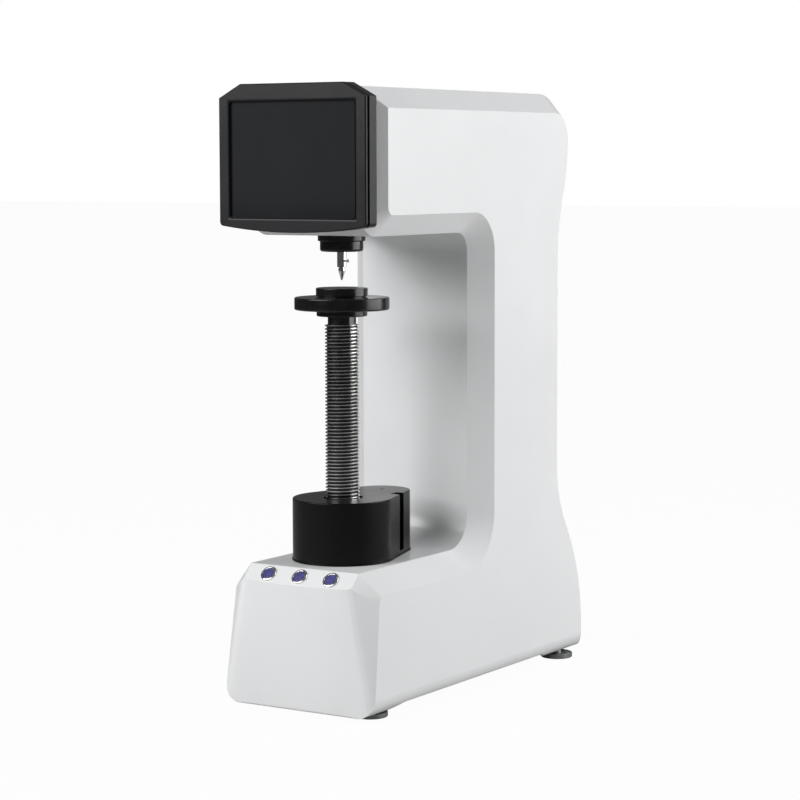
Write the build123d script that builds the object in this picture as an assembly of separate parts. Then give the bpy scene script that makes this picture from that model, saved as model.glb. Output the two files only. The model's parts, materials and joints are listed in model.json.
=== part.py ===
from build123d import *
import math
import os

# Bench hardness tester with a C-shaped cast frame, a motor-driven elevating screw in the base and a
# motor-driven test spindle in the head. Millimetres. Front faces -Y, +Z is up.
# While modelling, the screw and spindle axis is X = 0, Y = 0. Every piece is moved back by AXIS_SHIFT when
# it is written, so that the origin is on the floor at the middle of the whole tester.

# ---------------------------------------------------------------- frame casting
HALF_WIDTH = 98.0          # side faces of the column and head
BASE_FLARE = 5.0           # how much wider the base is at its foot, each side
FLARE_TOP_Z = 165.0
FLARE_FOOT_Z = 24.0
FOOT_CORNER_R = 22.0       # rounding between the side faces and the underside
BEVEL = 24.0               # 45 degree bevel round the side profile
FRONT_BEVEL_FOOT = 7.8     # what is left of that bevel at the foot of the base's front corners
BASE_FRONT_Y = -98.0
BASE_BULGE = 4.0           # crown of the base's front face
BASE_TOP_Z = 164.0
SLOPE = 18.0               # drop, and depth, of the button slope
THROAT_Y = 158.0           # face of the column inside the throat
THROAT_LOW_R = 40.0
THROAT_TOP_R = 22.0
HEAD_TOP_Z = 708.0
HEAD_H = 167.0
HEAD_UNDER_Z = HEAD_TOP_Z - HEAD_H
HEAD_FRONT_Y = -77.0
HEAD_FRONT_R = 34.0
REAR_TOP_Y = 387.0         # rear of the head
REAR_TOP_R = 54.0
REAR_TOP_DROP = 63.0       # from the top to where the head starts to narrow to the column
REAR_TOP_END_Z = HEAD_TOP_Z - REAR_TOP_DROP
REAR_MID_Y = 362.0         # flat rear of the column
REAR_NECK_H = 140.0        # height over which the head narrows
REAR_FLAT_TOP_Z = REAR_TOP_END_Z - REAR_NECK_H
REAR_FLAT_LOW_Z = 250.0
REAR_LOW_Y = 424.0         # rear of the base
REAR_LOW_Z = 40.0
REAR_LOW_SHARE = 0.34      # share of the lower S curve that bends outwards
WALL = 20.0                # casting wall round the profile
SIDE_WALL = 12.0
PROFILE_FOOT_Z = -60.0     # the profile runs on below the floor and is cut off there

# underside
LOBE_Z = 0.5               # the corners' underside
SKIRT_Z = 9.5              # the side walls' underside between the corners
FRONT_LOBE_Y = (-62.0, -19.0)
REAR_LOBE_Y = (304.0, 328.0)
FRONT_EDGE_R = 8.0
REAR_EDGE_R = 18.0

# levelling feet
FLOOR_Z = -6.0             # the casting's measuring plane is this far above the floor
FOOT_FRONT_INSET = 32.0    # side face of the casting to the front feet's axes
FOOT_REAR_INSET = 16.0
FOOT_FRONT = (HALF_WIDTH - FOOT_FRONT_INSET, -44.0)
FOOT_REAR = (HALF_WIDTH - FOOT_REAR_INSET, 368.0)
FOOT_R = 20.0
FOOT_DISC = 6.0
FOOT_STUD_R = 6.0
FOOT_STUD_TOP_Z = 42.0
FOOT_BOSS_R = 12.0
FOOT_BOSS_Z = (10.0, 50.0)
FOOT_RIB = 10.0            # width of the rib from a boss to the side wall

# bottom plate
PLATE_Z = 10.0
PLATE_T = 3.0
PLATE_GAP = 0.5
LUG = 16.0                 # lugs cast on the side walls for the plate's screws
LUG_H = 14.0
LUG_YS = (20.0, 150.0, 290.0)
M4_R = 2.0
M4_HEAD_R = 4.0
M4_HEAD_H = 2.6
M4_LENGTH = 9.0

# rear cover and connector panel
COVER_HALF = 68.0
COVER_FOOT_Z = 330.0
COVER_TOP_GAP = 5.0
COVER_Z = (COVER_FOOT_Z, REAR_FLAT_TOP_Z - COVER_TOP_GAP)
PANEL_Z = (256.0, 324.0)
COVER_T = 2.0
COVER_RIM = 12.0
COVER_SCREW_IN = 6.0
VENT_COUNT = 9
VENT_PITCH = 11.0
VENT_HALF = 38.0
VENT_H = 4.0

# ---------------------------------------------------------------- nose, spindle, indenter
NOSE_R = 27.5
NOSE_H = 7.2
NOSE_Z = HEAD_UNDER_Z - NOSE_H
CAP_R = 25.0
CAP_H = 12.0
CAP_Z = NOSE_Z - CAP_H
CAP_EDGE_R = 3.0
CAP_HOLE_R = 6.5
SLEEVE_R = 22.0
SLEEVE_H = 34.0
SLEEVE_TOP_Z = HEAD_UNDER_Z + SLEEVE_H
BUSH_OUT_R = 16.0
SPINDLE_R = 12.0
SPINDLE_BELOW = 8.0        # how far the spindle's full width reaches below the head
SPINDLE_ABOVE = 57.0
SPINDLE_Z = (HEAD_UNDER_Z - SPINDLE_BELOW, HEAD_UNDER_Z + SPINDLE_ABOVE)
CHUCK_R = 5.3
CHUCK_L = 18.0             # what shows of the chuck below the cap
CHUCK_Z = CAP_Z - CHUCK_L
SHANK_R = 3.15
SHANK_L = 17.2
SHANK_TOP_Z = CHUCK_Z + SHANK_L
INDENTER_R = 3.9
INDENTER_BODY = 4.3
INDENTER_SHOULDER_Z = CHUCK_Z - INDENTER_BODY
TIP_R = 1.3
INDENTER_L = 15.3          # from the chuck to the point
TIP_Z = CHUCK_Z - INDENTER_L
DIAMOND_H = 1.6
THUMB_RISE = 7.2
THUMB_Z = CHUCK_Z + THUMB_RISE
THUMB_STEM_R = 1.0
THUMB_BALL_R = 1.8
THUMB_REACH = 8.6
SPRING_WIRE_R = 1.0
SPRING_R = 14.6
SPRING_TURNS = 4
SPRING_BAY = 17.0
SPRING_TOP_Z = SLEEVE_TOP_Z + SPRING_BAY

# ---------------------------------------------------------------- lifting screw, anvil
SCREW_R = 19.9
SCREW_PITCH = 4.0
THREAD_DEPTH = 2.2
THREAD_FLAT = 1.2
SCREW_FOOT_Z = 182.0
ANVIL_R = 30.0
ANVIL_NECK_R = 28.0
ANVIL_NECK = 1.4
ANVIL_GAP = 8.5            # from the indenter's point down to the anvil, at rest
ANVIL_T = 9.3
ANVIL_TOP_Z = TIP_Z - ANVIL_GAP
ANVIL_Z = (ANVIL_TOP_Z - ANVIL_T, ANVIL_TOP_Z)
DISC_R = 55.0
DISC_T = 14.6
DISC_TOP_Z = ANVIL_Z[0] - ANVIL_NECK
DISC_Z = (DISC_TOP_Z - DISC_T, DISC_TOP_Z)
DISC_EDGE_R = 2.0
HUB_R = 29.35
HUB_H = 7.4
HUB_Z = DISC_Z[0] - HUB_H
HUB_CHAMFER = 1.2
NECK_R = 16.5
NECK_L = 9.6
SCREW_TOP_Z = HUB_Z - NECK_L
SPIGOT_R = 15.0
STEM_R = 10.0
STEM_L = 28.3
STEM_FOOT_Z = DISC_TOP_Z - STEM_L
FIT = 0.05                 # radial clearance of running and location fits
KEYWAY_W = 6.0
KEYWAY_DEPTH = 3.6
KEYWAY_END = 5.7           # plain length left above the keyway
KEYWAY_Z = (SCREW_FOOT_Z, SCREW_TOP_Z - KEYWAY_END)

# ---------------------------------------------------------------- screw drive in its housing
HOUSING_R = 58.5
HOUSING_REAR_R = 35.0
DRIVE_CENTRES = 81.0       # screw axis to motor axis
SEAT_T = 2.0
HOUSING_TOP_Z = 236.5
HOUSING_WALL = 5.0
HOUSING_BORE_R = 23.0
SLOT_Y = 60.5
SLOT_W = 15.0
SLOT_DEPTH = 11.5
SLOT_FOOT = 4.0
SLOT_RIB = 2.5
SET_SCREW_Y = 84.0
BEARING_R = 40.0
BEARING_BORE_R = 27.5
BEARING_W = 13.0
BEARING_LOW_Z = 170.0
BEARING_TOP_Z = 206.5
CARRIER_R = 51.0
CARRIER_RIM = 5.0
NUT_SHOULDER_R = 31.0
BELT_PITCH = 5.0
NUT_TEETH = 42
MOTOR_TEETH = 16
PITCH_LINE = 0.57          # belt pitch line above the tooth tips
PULLEY_Z = (186.0, 204.0)
PULLEY_LIP = 1.5
PULLEY_LIP_R = 2.8
BELT_T = 2.2
BELT_GAP = 0.3
BUSH_R = 26.0
BUSH_Z = (220.0, 230.0)
KEY_REACH = 2.6            # how far the key stands into the keyway
PASSAGE_R = 31.0           # hole in the base top round the screw
MOTOR_HALF = 21.15
MOTOR_H = 82.0
MOTOR_PILOT_R = 11.0
MOTOR_PILOT_H = 3.0
MOTOR_SHAFT_R = 4.0
MOTOR_BOLT = 15.5
MOTOR_SCREW_HEAD_R = 3.5
MOTOR_SCREW_HEAD_H = 4.0

# ---------------------------------------------------------------- load drive in the head
CELL_R = 24.0
CELL_H = 16.0
CELL_TOP_Z = SPINDLE_Z[1] + CELL_H
CROSSHEAD_T = 14.0
CROSSHEAD_HALF = (62.0, 20.0)
ROD_X = 50.0
ROD_R = 5.0
ROD_SUNK = 8.0
NUT_R = 11.0
NUT_FLANGE_R = 17.0
LOAD_SCREW_R = 6.0
LOAD_SCREW_SUNK = 8.0      # from the load cell's top up to the load screw's foot
LOAD_SCREW_FOOT_Z = CELL_TOP_Z + LOAD_SCREW_SUNK
TOP_PLATE_RISE = 48.0
TOP_PLATE_T = 8.0
TOP_PLATE_FOOT_Z = CELL_TOP_Z + TOP_PLATE_RISE
TOP_PLATE_Z = (TOP_PLATE_FOOT_Z, TOP_PLATE_FOOT_Z + TOP_PLATE_T)
TOP_PLATE_Y = (-24.0, 126.0)
POST_Y = 112.0
LOAD_CENTRES = 86.0
LOAD_TEETH = 20
LOAD_MOTOR_TEETH = 14
LOAD_PULLEY_GAP = 1.0
LOAD_PULLEY_H = 13.0
LOAD_PULLEY_FOOT_Z = TOP_PLATE_Z[1] + LOAD_PULLEY_GAP
LOAD_PULLEY_Z = (LOAD_PULLEY_FOOT_Z, LOAD_PULLEY_FOOT_Z + LOAD_PULLEY_H)
LOAD_MOTOR_H = 56.0
SENSOR_X = 32.0
SENSOR_R = 6.0
PLUNGER_R = 2.0

# ---------------------------------------------------------------- display
DISPLAY_FRONT_Y = -101.0
DISPLAY_HALF = 99.5
DISPLAY_RISE = 4.0         # how far the display stands above the head
DISPLAY_TOP_Z = HEAD_TOP_Z + DISPLAY_RISE
DISPLAY_H = 166.5
DISPLAY_FOOT_Z = DISPLAY_TOP_Z - DISPLAY_H
DISPLAY_BOW = 7.5
DISPLAY_SIDE_FOOT_Z = DISPLAY_FOOT_Z + DISPLAY_BOW
DISPLAY_CHAMFER = (29.5, 15.5)
DISPLAY_SHOULDER = (DISPLAY_HALF - DISPLAY_CHAMFER[0], DISPLAY_TOP_Z - DISPLAY_CHAMFER[1])
DISPLAY_CORNER_R = 5.0
GROOVE_Y = (-97.5, -93.0)
GROOVE_DEPTH = 3.0
SHELL_WALL = 3.0
SCREEN_RIM = 14.5          # bezel beside the screen
SCREEN_BROW = 20.0
SCREEN_FOOT = 16.5
SCREEN_HALF = DISPLAY_HALF - SCREEN_RIM
SCREEN_Z = (DISPLAY_FOOT_Z + SCREEN_FOOT, DISPLAY_TOP_Z - SCREEN_BROW)
GLASS_T = 1.5
GLASS_LAP = 3.0
LCD_LAP = 2.0
LCD_T = 5.0
DISPLAY_BOARD_T = 1.6
DISPLAY_BOARD_IN = (7.0, 35.0)
DISPLAY_BOARD_UP = (18.0, 12.0)
DISPLAY_CHIPS = ((-20.0, 13.0, 16.0, 16.0), (10.0, -17.0, 12.0, 10.0), (20.0, 28.0, 9.0, 14.0),
                 (-50.0, -27.0, 14.0, 8.0))
CHIP_T = 1.6
CHIP_SUNK = 0.2
DISPLAY_SCREW_X = 60.0
DISPLAY_SCREW_IN = (28.0, 22.0)
DISPLAY_SCREW_ZS = (SCREEN_Z[0] + DISPLAY_SCREW_IN[0], SCREEN_Z[1] - DISPLAY_SCREW_IN[1])
CABLE_IN = 29.5
CABLE_DROP = 72.0
CABLE_X = CABLE_IN - DISPLAY_HALF
CABLE_Z = DISPLAY_TOP_Z - CABLE_DROP
CABLE_R = 4.0
CABLE_HOLE_R = 7.0

# ---------------------------------------------------------------- buttons
BUTTON_PITCH = 42.8
BUTTON_RING_R = 10.0
BUTTON_RING_H = 2.0
BUTTON_BARREL_R = 8.0
BUTTON_BARREL = 12.0
BUTTON_WALL = 8.0          # casting left under the slope at each button
BUTTON_POCKET_R = 12.0
BUTTON_CAP_R = 7.0
BUTTON_CAP_GAP = 0.3
BUTTON_CAP_T = 3.0
BUTTON_CAP_SUNK = 0.6
BUTTON_STEM_R = 4.0
BUTTON_STEM = 8.0
SWITCH_R = 10.0
SWITCH_L = 18.0

# ---------------------------------------------------------------- rear connectors, electronics
INLET_X = -40.0
SWITCH_X = 2.0
ROCKER_PIVOT_IN = 3.0      # from the panel's face in to the rocker's pivot
ROCKER_PIN_R = 1.5
ROCKER_PIN_REACH = 9.0
PORT_X = 42.0
PIN_PITCH = 2.76
PIN_RECESS = 4.0            # how far the inlet's pins stop short of the panel's face
CONNECTOR_Z = 290.0
SUPPLY = (100.0, 150.0, 40.0)
SUPPLY_Y = 250.0
BOARD_HALF = 55.0
BOARD_Y = 255.0
BOARD_Z = 420.0
BOARD_T = 1.6
STANDOFF = 8.0
BOARD_PARTS = ((-30.0, 30.0, 16.0, 16.0, 2.4), (0.0, 34.0, 12.0, 12.0, 2.0), (30.0, 30.0, 14.0, 18.0, 9.0),
               (30.0, 4.0, 14.0, 18.0, 9.0), (-28.0, -8.0, 10.0, 24.0, 6.0), (2.0, -6.0, 20.0, 20.0, 3.0),
               (0.0, -44.0, 84.0, 10.0, 10.0), (-40.0, 8.0, 8.0, 30.0, 8.0))

AXIS_SHIFT = -(REAR_LOW_Y + DISPLAY_FRONT_Y) / 2
AXIS_LIFT = -FLOOR_Z


# ---------------------------------------------------------------- shape helpers
def rod(radius, low, high, x=0.0, y=0.0):
    """Upright cylinder between two heights."""
    return Pos(x, y, low) * extrude(Circle(radius), amount=high - low)


def tube(outer, inner, low, high, x=0.0, y=0.0):
    """Upright tube between two heights."""
    return Pos(x, y, low) * extrude(Circle(outer) - Circle(inner), amount=high - low)


def block(x, y, z):
    """Box from three (low, high) pairs."""
    size = (x[1] - x[0], y[1] - y[0], z[1] - z[0])
    middle = ((x[0] + x[1]) / 2, (y[0] + y[1]) / 2, (z[0] + z[1]) / 2)
    return Pos(*middle) * Box(*size)


def turned(points):
    """Solid turned about the Z axis from (radius, height) points."""
    outline = Polyline(*[(r, z) for r, z in points], close=True)
    return revolve(Plane.XZ * make_face(outline), Axis.Z)


def along_y(radius, low, high, x, z):
    """Cylinder along Y between two depths."""
    return Plane.XZ.offset(-high) * Pos(x, z) * extrude(Circle(radius), amount=high - low)


def s_curve(start, end, share):
    """Two arcs from start to end, both ends upright; share is the first arc's part of the radii."""
    across = end[0] - start[0]
    rise = end[1] - start[1]
    turn = 2 * math.atan(abs(across / rise))
    radii = abs(rise) / math.sin(turn)
    first = share * radii
    side = math.copysign(1, across)
    way = math.copysign(1, rise)
    middle = (
        start[0] + side * first * (1 - math.cos(turn)),
        start[1] + way * first * math.sin(turn),
    )
    second = radii - first
    on_first = (
        start[0] + side * first * (1 - math.cos(turn / 2)),
        start[1] + way * first * math.sin(turn / 2),
    )
    on_second = (
        end[0] - side * second * (1 - math.cos(turn / 2)),
        end[1] - way * second * math.sin(turn / 2),
    )
    return [ThreePointArc(start, on_first, middle), ThreePointArc(middle, on_second, end)]


def teardrop(front_r, rear_r, centres):
    """Face round two circles on the Y axis, joined by their outer tangents."""
    lean = math.asin((front_r - rear_r) / centres)
    side_x = math.cos(lean)
    side_y = math.sin(lean)
    front = (front_r * side_x, front_r * side_y)
    rear = (rear_r * side_x, centres + rear_r * side_y)
    outline = [
        Line(front, rear),
        ThreePointArc(rear, (0, centres + rear_r), (-rear[0], rear[1])),
        Line((-rear[0], rear[1]), (-front[0], front[1])),
        ThreePointArc((-front[0], front[1]), (0, -front_r), front),
    ]
    return make_face(outline)


def toothed_pulley(teeth, low, high, bore_r):
    """Toothed pulley with two lips, standing on the Z axis."""
    tip_r = teeth * BELT_PITCH / (2 * math.pi) - PITCH_LINE
    face = Circle(tip_r)
    grooves = PolarLocations(tip_r, teeth) * Rectangle(2.4, 2.4)
    wheel = Pos(0, 0, low) * extrude(face - grooves, amount=high - low)
    lips = tube(tip_r + PULLEY_LIP_R, bore_r, low, low + PULLEY_LIP)
    lips += tube(tip_r + PULLEY_LIP_R, bore_r, high - PULLEY_LIP, high)
    return wheel + lips - rod(bore_r, low - 1, high + 1)


def belt(large_teeth, small_teeth, centres, low, high):
    """Endless flat band round two pulleys, clear of their tooth tips."""
    large = large_teeth * BELT_PITCH / (2 * math.pi) - PITCH_LINE + BELT_GAP
    small = small_teeth * BELT_PITCH / (2 * math.pi) - PITCH_LINE + BELT_GAP
    band = teardrop(large + BELT_T, small + BELT_T, centres) - teardrop(large, small, centres)
    return Pos(0, 0, low) * extrude(band, amount=high - low)


def screws_along(axis_plane, places, radius, length, head_r, head_h):
    """Group of screws: head on the plane, shank the other way."""
    head = extrude(Circle(head_r), amount=head_h)
    shank = extrude(Circle(radius), amount=-length)
    one = head + shank
    return Compound([axis_plane * Pos(x, y) * one for x, y in places])


# ---------------------------------------------------------------- frame casting
def side_profile():
    """Side outline of the casting, from the front foot up round the throat and back down the rear."""
    slope_foot = (BASE_FRONT_Y, BASE_TOP_Z - SLOPE)
    slope_top = (BASE_FRONT_Y + SLOPE, BASE_TOP_Z)
    low_a = (THROAT_Y - THROAT_LOW_R, BASE_TOP_Z)
    low_b = (THROAT_Y, BASE_TOP_Z + THROAT_LOW_R)
    top_a = (THROAT_Y, HEAD_UNDER_Z - THROAT_TOP_R)
    top_b = (THROAT_Y - THROAT_TOP_R, HEAD_UNDER_Z)
    nose_a = (HEAD_FRONT_Y + HEAD_FRONT_R, HEAD_UNDER_Z)
    nose_b = (HEAD_FRONT_Y, HEAD_UNDER_Z + HEAD_FRONT_R)
    brow = (HEAD_FRONT_Y, HEAD_TOP_Z)
    crown_a = (REAR_TOP_Y - REAR_TOP_R, HEAD_TOP_Z)
    crown_b = (REAR_TOP_Y, HEAD_TOP_Z - REAR_TOP_R)
    waist_a = (REAR_TOP_Y, REAR_TOP_END_Z)
    waist_b = (REAR_MID_Y, REAR_FLAT_TOP_Z)
    waist_c = (REAR_MID_Y, REAR_FLAT_LOW_Z)
    heel = (REAR_LOW_Y, REAR_LOW_Z)
    outline = [
        Line((BASE_FRONT_Y, PROFILE_FOOT_Z), slope_foot),
        Line(slope_foot, slope_top),
        Line(slope_top, low_a),
        RadiusArc(low_a, low_b, -THROAT_LOW_R),
        Line(low_b, top_a),
        RadiusArc(top_a, top_b, -THROAT_TOP_R),
        Line(top_b, nose_a),
        RadiusArc(nose_a, nose_b, HEAD_FRONT_R),
        Line(nose_b, brow),
        Line(brow, crown_a),
        RadiusArc(crown_a, crown_b, REAR_TOP_R),
        Line(crown_b, waist_a),
        *s_curve(waist_a, waist_b, 0.5),
        Line(waist_b, waist_c),
        *s_curve(waist_c, heel, REAR_LOW_SHARE),
        Line(heel, (REAR_LOW_Y, PROFILE_FOOT_Z)),
        Line((REAR_LOW_Y, PROFILE_FOOT_Z), (BASE_FRONT_Y, PROFILE_FOOT_Z)),
    ]
    return make_face(outline)


def front_outline():
    """Front view of the casting: upright sides that flare at the base and turn under at the foot."""
    foot = HALF_WIDTH + BASE_FLARE
    flat = foot - FOOT_CORNER_R
    turn = math.sqrt(0.5) * FOOT_CORNER_R
    right = [
        Line((HALF_WIDTH, HEAD_TOP_Z + WALL), (HALF_WIDTH, FLARE_TOP_Z)),
        Line((HALF_WIDTH, FLARE_TOP_Z), (foot, FLARE_FOOT_Z)),
        ThreePointArc(
            (foot, FLARE_FOOT_Z),
            (flat + turn, FLARE_FOOT_Z - turn),
            (flat, FLARE_FOOT_Z - FOOT_CORNER_R),
        ),
    ]
    left = [mirror(edge, Plane.YZ) for edge in right]
    floor = Line((flat, FLARE_FOOT_Z - FOOT_CORNER_R), (-flat, FLARE_FOOT_Z - FOOT_CORNER_R))
    roof = Line((HALF_WIDTH, HEAD_TOP_Z + WALL), (-HALF_WIDTH, HEAD_TOP_Z + WALL))
    return make_face(right + left + [floor, roof])


def underside_outline():
    """Side view of what is kept above the underside: low corners, raised edge between them."""
    front = BASE_FRONT_Y
    rear = REAR_LOW_Y
    half = math.sqrt(0.5)
    front_a = (front, LOBE_Z + FRONT_EDGE_R)
    front_b = (front + FRONT_EDGE_R, LOBE_Z)
    front_m = (front + FRONT_EDGE_R * (1 - half), LOBE_Z + FRONT_EDGE_R * (1 - half))
    rear_a = (rear - REAR_EDGE_R, LOBE_Z)
    rear_b = (rear, LOBE_Z + REAR_EDGE_R)
    rear_m = (rear - REAR_EDGE_R * (1 - half), LOBE_Z + REAR_EDGE_R * (1 - half))
    roof = HEAD_TOP_Z + WALL
    outline = [
        Line((front, roof), front_a),
        ThreePointArc(front_a, front_m, front_b),
        Line(front_b, (FRONT_LOBE_Y[0], LOBE_Z)),
        Line((FRONT_LOBE_Y[0], LOBE_Z), (FRONT_LOBE_Y[1], SKIRT_Z)),
        Line((FRONT_LOBE_Y[1], SKIRT_Z), (REAR_LOBE_Y[0], SKIRT_Z)),
        Line((REAR_LOBE_Y[0], SKIRT_Z), (REAR_LOBE_Y[1], LOBE_Z)),
        Line((REAR_LOBE_Y[1], LOBE_Z), rear_a),
        ThreePointArc(rear_a, rear_m, rear_b),
        Line(rear_b, (rear, roof)),
        Line((rear, roof), (front, roof)),
    ]
    return make_face(outline)


def base_front_face():
    """Plan of the casting with its crowned front."""
    wide = HALF_WIDTH + 2 * BASE_FLARE
    side_y = BASE_FRONT_Y + BASE_BULGE
    outline = [
        ThreePointArc((-wide, side_y), (0, BASE_FRONT_Y), (wide, side_y)),
        Line((wide, side_y), (wide, REAR_LOW_Y + 1)),
        Line((wide, REAR_LOW_Y + 1), (-wide, REAR_LOW_Y + 1)),
        Line((-wide, REAR_LOW_Y + 1), (-wide, side_y)),
    ]
    return make_face(outline)


def feet_places():
    """Plan places of the four levelling feet."""
    return [(side * x, y) for x, y in (FOOT_FRONT, FOOT_REAR) for side in (-1, 1)]


def lug_places():
    """Plan places of the bottom plate's screws, in lugs on the side walls."""
    inner = HALF_WIDTH - SIDE_WALL - LUG / 2
    return [(x, y) for x in (-inner, inner) for y in LUG_YS]


def rear_screw_places():
    """Places (X, Z) of the screws that hold the rear cover and the connector panel."""
    x = COVER_HALF - COVER_SCREW_IN
    middle = sum(COVER_Z) / 2
    heights = [COVER_Z[0] + COVER_SCREW_IN, middle, COVER_Z[1] - COVER_SCREW_IN]
    heights += [PANEL_Z[0] + COVER_SCREW_IN, PANEL_Z[1] - COVER_SCREW_IN]
    return [(side * x, z) for z in heights for side in (-1, 1)]


def button_planes():
    """Planes on the button slope, one for each button, with Z out of the casting."""
    middle_y = BASE_FRONT_Y + SLOPE / 2
    middle_z = BASE_TOP_Z - SLOPE / 2
    return [
        Plane(origin=(k * BUTTON_PITCH, middle_y, middle_z), x_dir=(1, 0, 0), z_dir=(0, -1, 1))
        for k in (-1, 0, 1)
    ]


def motor_bolt_places():
    """Plan places of the lifting motor's four screws."""
    return [(x * MOTOR_BOLT, DRIVE_CENTRES + y * MOTOR_BOLT) for x in (-1, 1) for y in (-1, 1)]


def display_screw_places():
    """Places (X, Z) of the screws that hold the display to the head."""
    return [(x, z) for x in (-DISPLAY_SCREW_X, DISPLAY_SCREW_X) for z in DISPLAY_SCREW_ZS]


def board_corner_places():
    """Places (Y, Z) of the control board's standoffs on the column's wall."""
    reach = BOARD_HALF - 6
    return [(BOARD_Y + y * reach, BOARD_Z + z * reach) for y in (-1, 1) for z in (-1, 1)]


def rod_places():
    """Plan places of the four rods under the head's top plate."""
    return [(x, y) for y in (0, POST_Y) for x in (-ROD_X, ROD_X)]


def front_corners():
    """What the bevel takes off the base's front corners; it narrows towards the foot."""
    crease = (HALF_WIDTH - BEVEL, BASE_FRONT_Y, BASE_TOP_Z - SLOPE)
    narrowing = (BEVEL + BASE_FLARE - FRONT_BEVEL_FOOT) / (crease[2] - FLARE_FOOT_Z)
    plane = Plane(origin=crease, z_dir=(1, -1, narrowing))
    wedge = plane * extrude(Rectangle(4 * HALF_WIDTH, 4 * HALF_WIDTH), amount=HALF_WIDTH)
    wedge &= block((0, 2 * HALF_WIDTH), (BASE_FRONT_Y - 1, 0), (PROFILE_FOOT_Z - 1, BASE_TOP_Z))
    return wedge + mirror(wedge, Plane.YZ)


def frame_casting():
    """The hollow C frame with its bosses, openings and holes."""
    half = HALF_WIDTH + BASE_FLARE
    profile = side_profile()
    body = extrude(Plane.YZ * profile, amount=half, both=True)
    rims = [
        edge
        for face in body.faces()
        if abs(abs(face.center().X) - half) < 0.001
        for edge in face.edges()
        if edge.center().Z > PROFILE_FOOT_Z + 1
    ]
    rims = [edge for edge in rims if abs(edge.center().Y - BASE_FRONT_Y) > 1]
    body = chamfer(rims, BEVEL + BASE_FLARE)
    body -= front_corners()
    reach = REAR_LOW_Y - BASE_FRONT_Y + 2
    body &= Plane.XZ.offset(-REAR_LOW_Y - 1) * extrude(front_outline(), amount=reach)
    body &= extrude(Plane.YZ * underside_outline(), amount=half, both=True)
    body &= Pos(0, 0, PROFILE_FOOT_Z) * extrude(base_front_face(), amount=2 * HEAD_TOP_Z)
    hollow = offset(profile, amount=-WALL, kind=Kind.INTERSECTION)
    body -= extrude(Plane.YZ * hollow, amount=HALF_WIDTH - SIDE_WALL, both=True)

    for x, y in feet_places():
        body += rod(FOOT_BOSS_R, *FOOT_BOSS_Z, x, y)
        wall_x = math.copysign(HALF_WIDTH - SIDE_WALL + 1, x)
        rib_y = (y - FOOT_RIB / 2, y + FOOT_RIB / 2)
        body += block(tuple(sorted((x, wall_x))), rib_y, (PLATE_Z + PLATE_T + 1, FOOT_BOSS_Z[1]))
        body -= rod(FOOT_STUD_R + FIT, FLOOR_Z, FOOT_STUD_TOP_Z + 2, x, y)
    lug_z = PLATE_Z + PLATE_T
    for x, y in lug_places():
        out = math.copysign(LUG / 2 + 1, x)
        low_x, high_x = sorted((x - math.copysign(LUG / 2, x), x + out))
        body += block((low_x, high_x), (y - LUG / 2, y + LUG / 2), (lug_z, lug_z + LUG_H))
        body -= rod(M4_R, lug_z - 1, lug_z + M4_LENGTH, x, y)
    for y, z in board_corner_places():
        wall = HALF_WIDTH - SIDE_WALL
        body += Plane.YZ.offset(-wall - 1) * Pos(y, z) * extrude(Circle(4), amount=STANDOFF + 1)

    body -= rod(PASSAGE_R, BASE_TOP_Z - WALL - 1, BASE_TOP_Z + 1)
    body -= rod(MOTOR_PILOT_R + FIT, BASE_TOP_Z - WALL - 1, BASE_TOP_Z + 1, 0, DRIVE_CENTRES)
    for x, y in motor_bolt_places():
        body -= rod(M4_R + 0.25, BASE_TOP_Z - WALL - 1, BASE_TOP_Z + 1, x, y)
    body -= rod(SLEEVE_R + FIT, HEAD_UNDER_Z - 1, HEAD_UNDER_Z + WALL + 1)
    for plane in button_planes():
        body -= plane * Pos(0, 0, -WALL) * extrude(Circle(BUTTON_BARREL_R + 0.2), amount=2 * WALL)
        depth = 3 * WALL - BUTTON_WALL
        body -= plane * Pos(0, 0, -3 * WALL) * extrude(Circle(BUTTON_POCKET_R), amount=depth)
    for x, z in display_screw_places():
        body -= along_y(M4_R + 0.25, HEAD_FRONT_Y - 1, HEAD_FRONT_Y + WALL + 1, x, z)
    body -= along_y(CABLE_HOLE_R, HEAD_FRONT_Y - 1, HEAD_FRONT_Y + WALL + 1, CABLE_X, CABLE_Z)
    open_half = COVER_HALF - COVER_RIM
    depth = (REAR_MID_Y - WALL - 1, REAR_MID_Y + 1)
    for low, high in (COVER_Z, PANEL_Z):
        body -= block((-open_half, open_half), depth, (low + COVER_RIM, high - COVER_RIM))
    for x, z in rear_screw_places():
        body -= along_y(M4_R, REAR_MID_Y - M4_LENGTH, REAR_MID_Y + 1, x, z)
    for x, y in rod_places():
        body -= rod(ROD_R + FIT, HEAD_UNDER_Z + WALL - ROD_SUNK, HEAD_UNDER_Z + WALL + 1, x, y)
    return body


def levelling_feet():
    """Four discs on threaded studs, screwed up into the casting's bosses."""
    top = FLOOR_Z + FOOT_DISC
    disc = chamfer(rod(FOOT_R, FLOOR_Z, top).edges(), 0.8)
    one = disc + rod(FOOT_STUD_R, top - 1, FOOT_STUD_TOP_Z)
    return Compound([Pos(x, y) * one for x, y in feet_places()])


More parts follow.
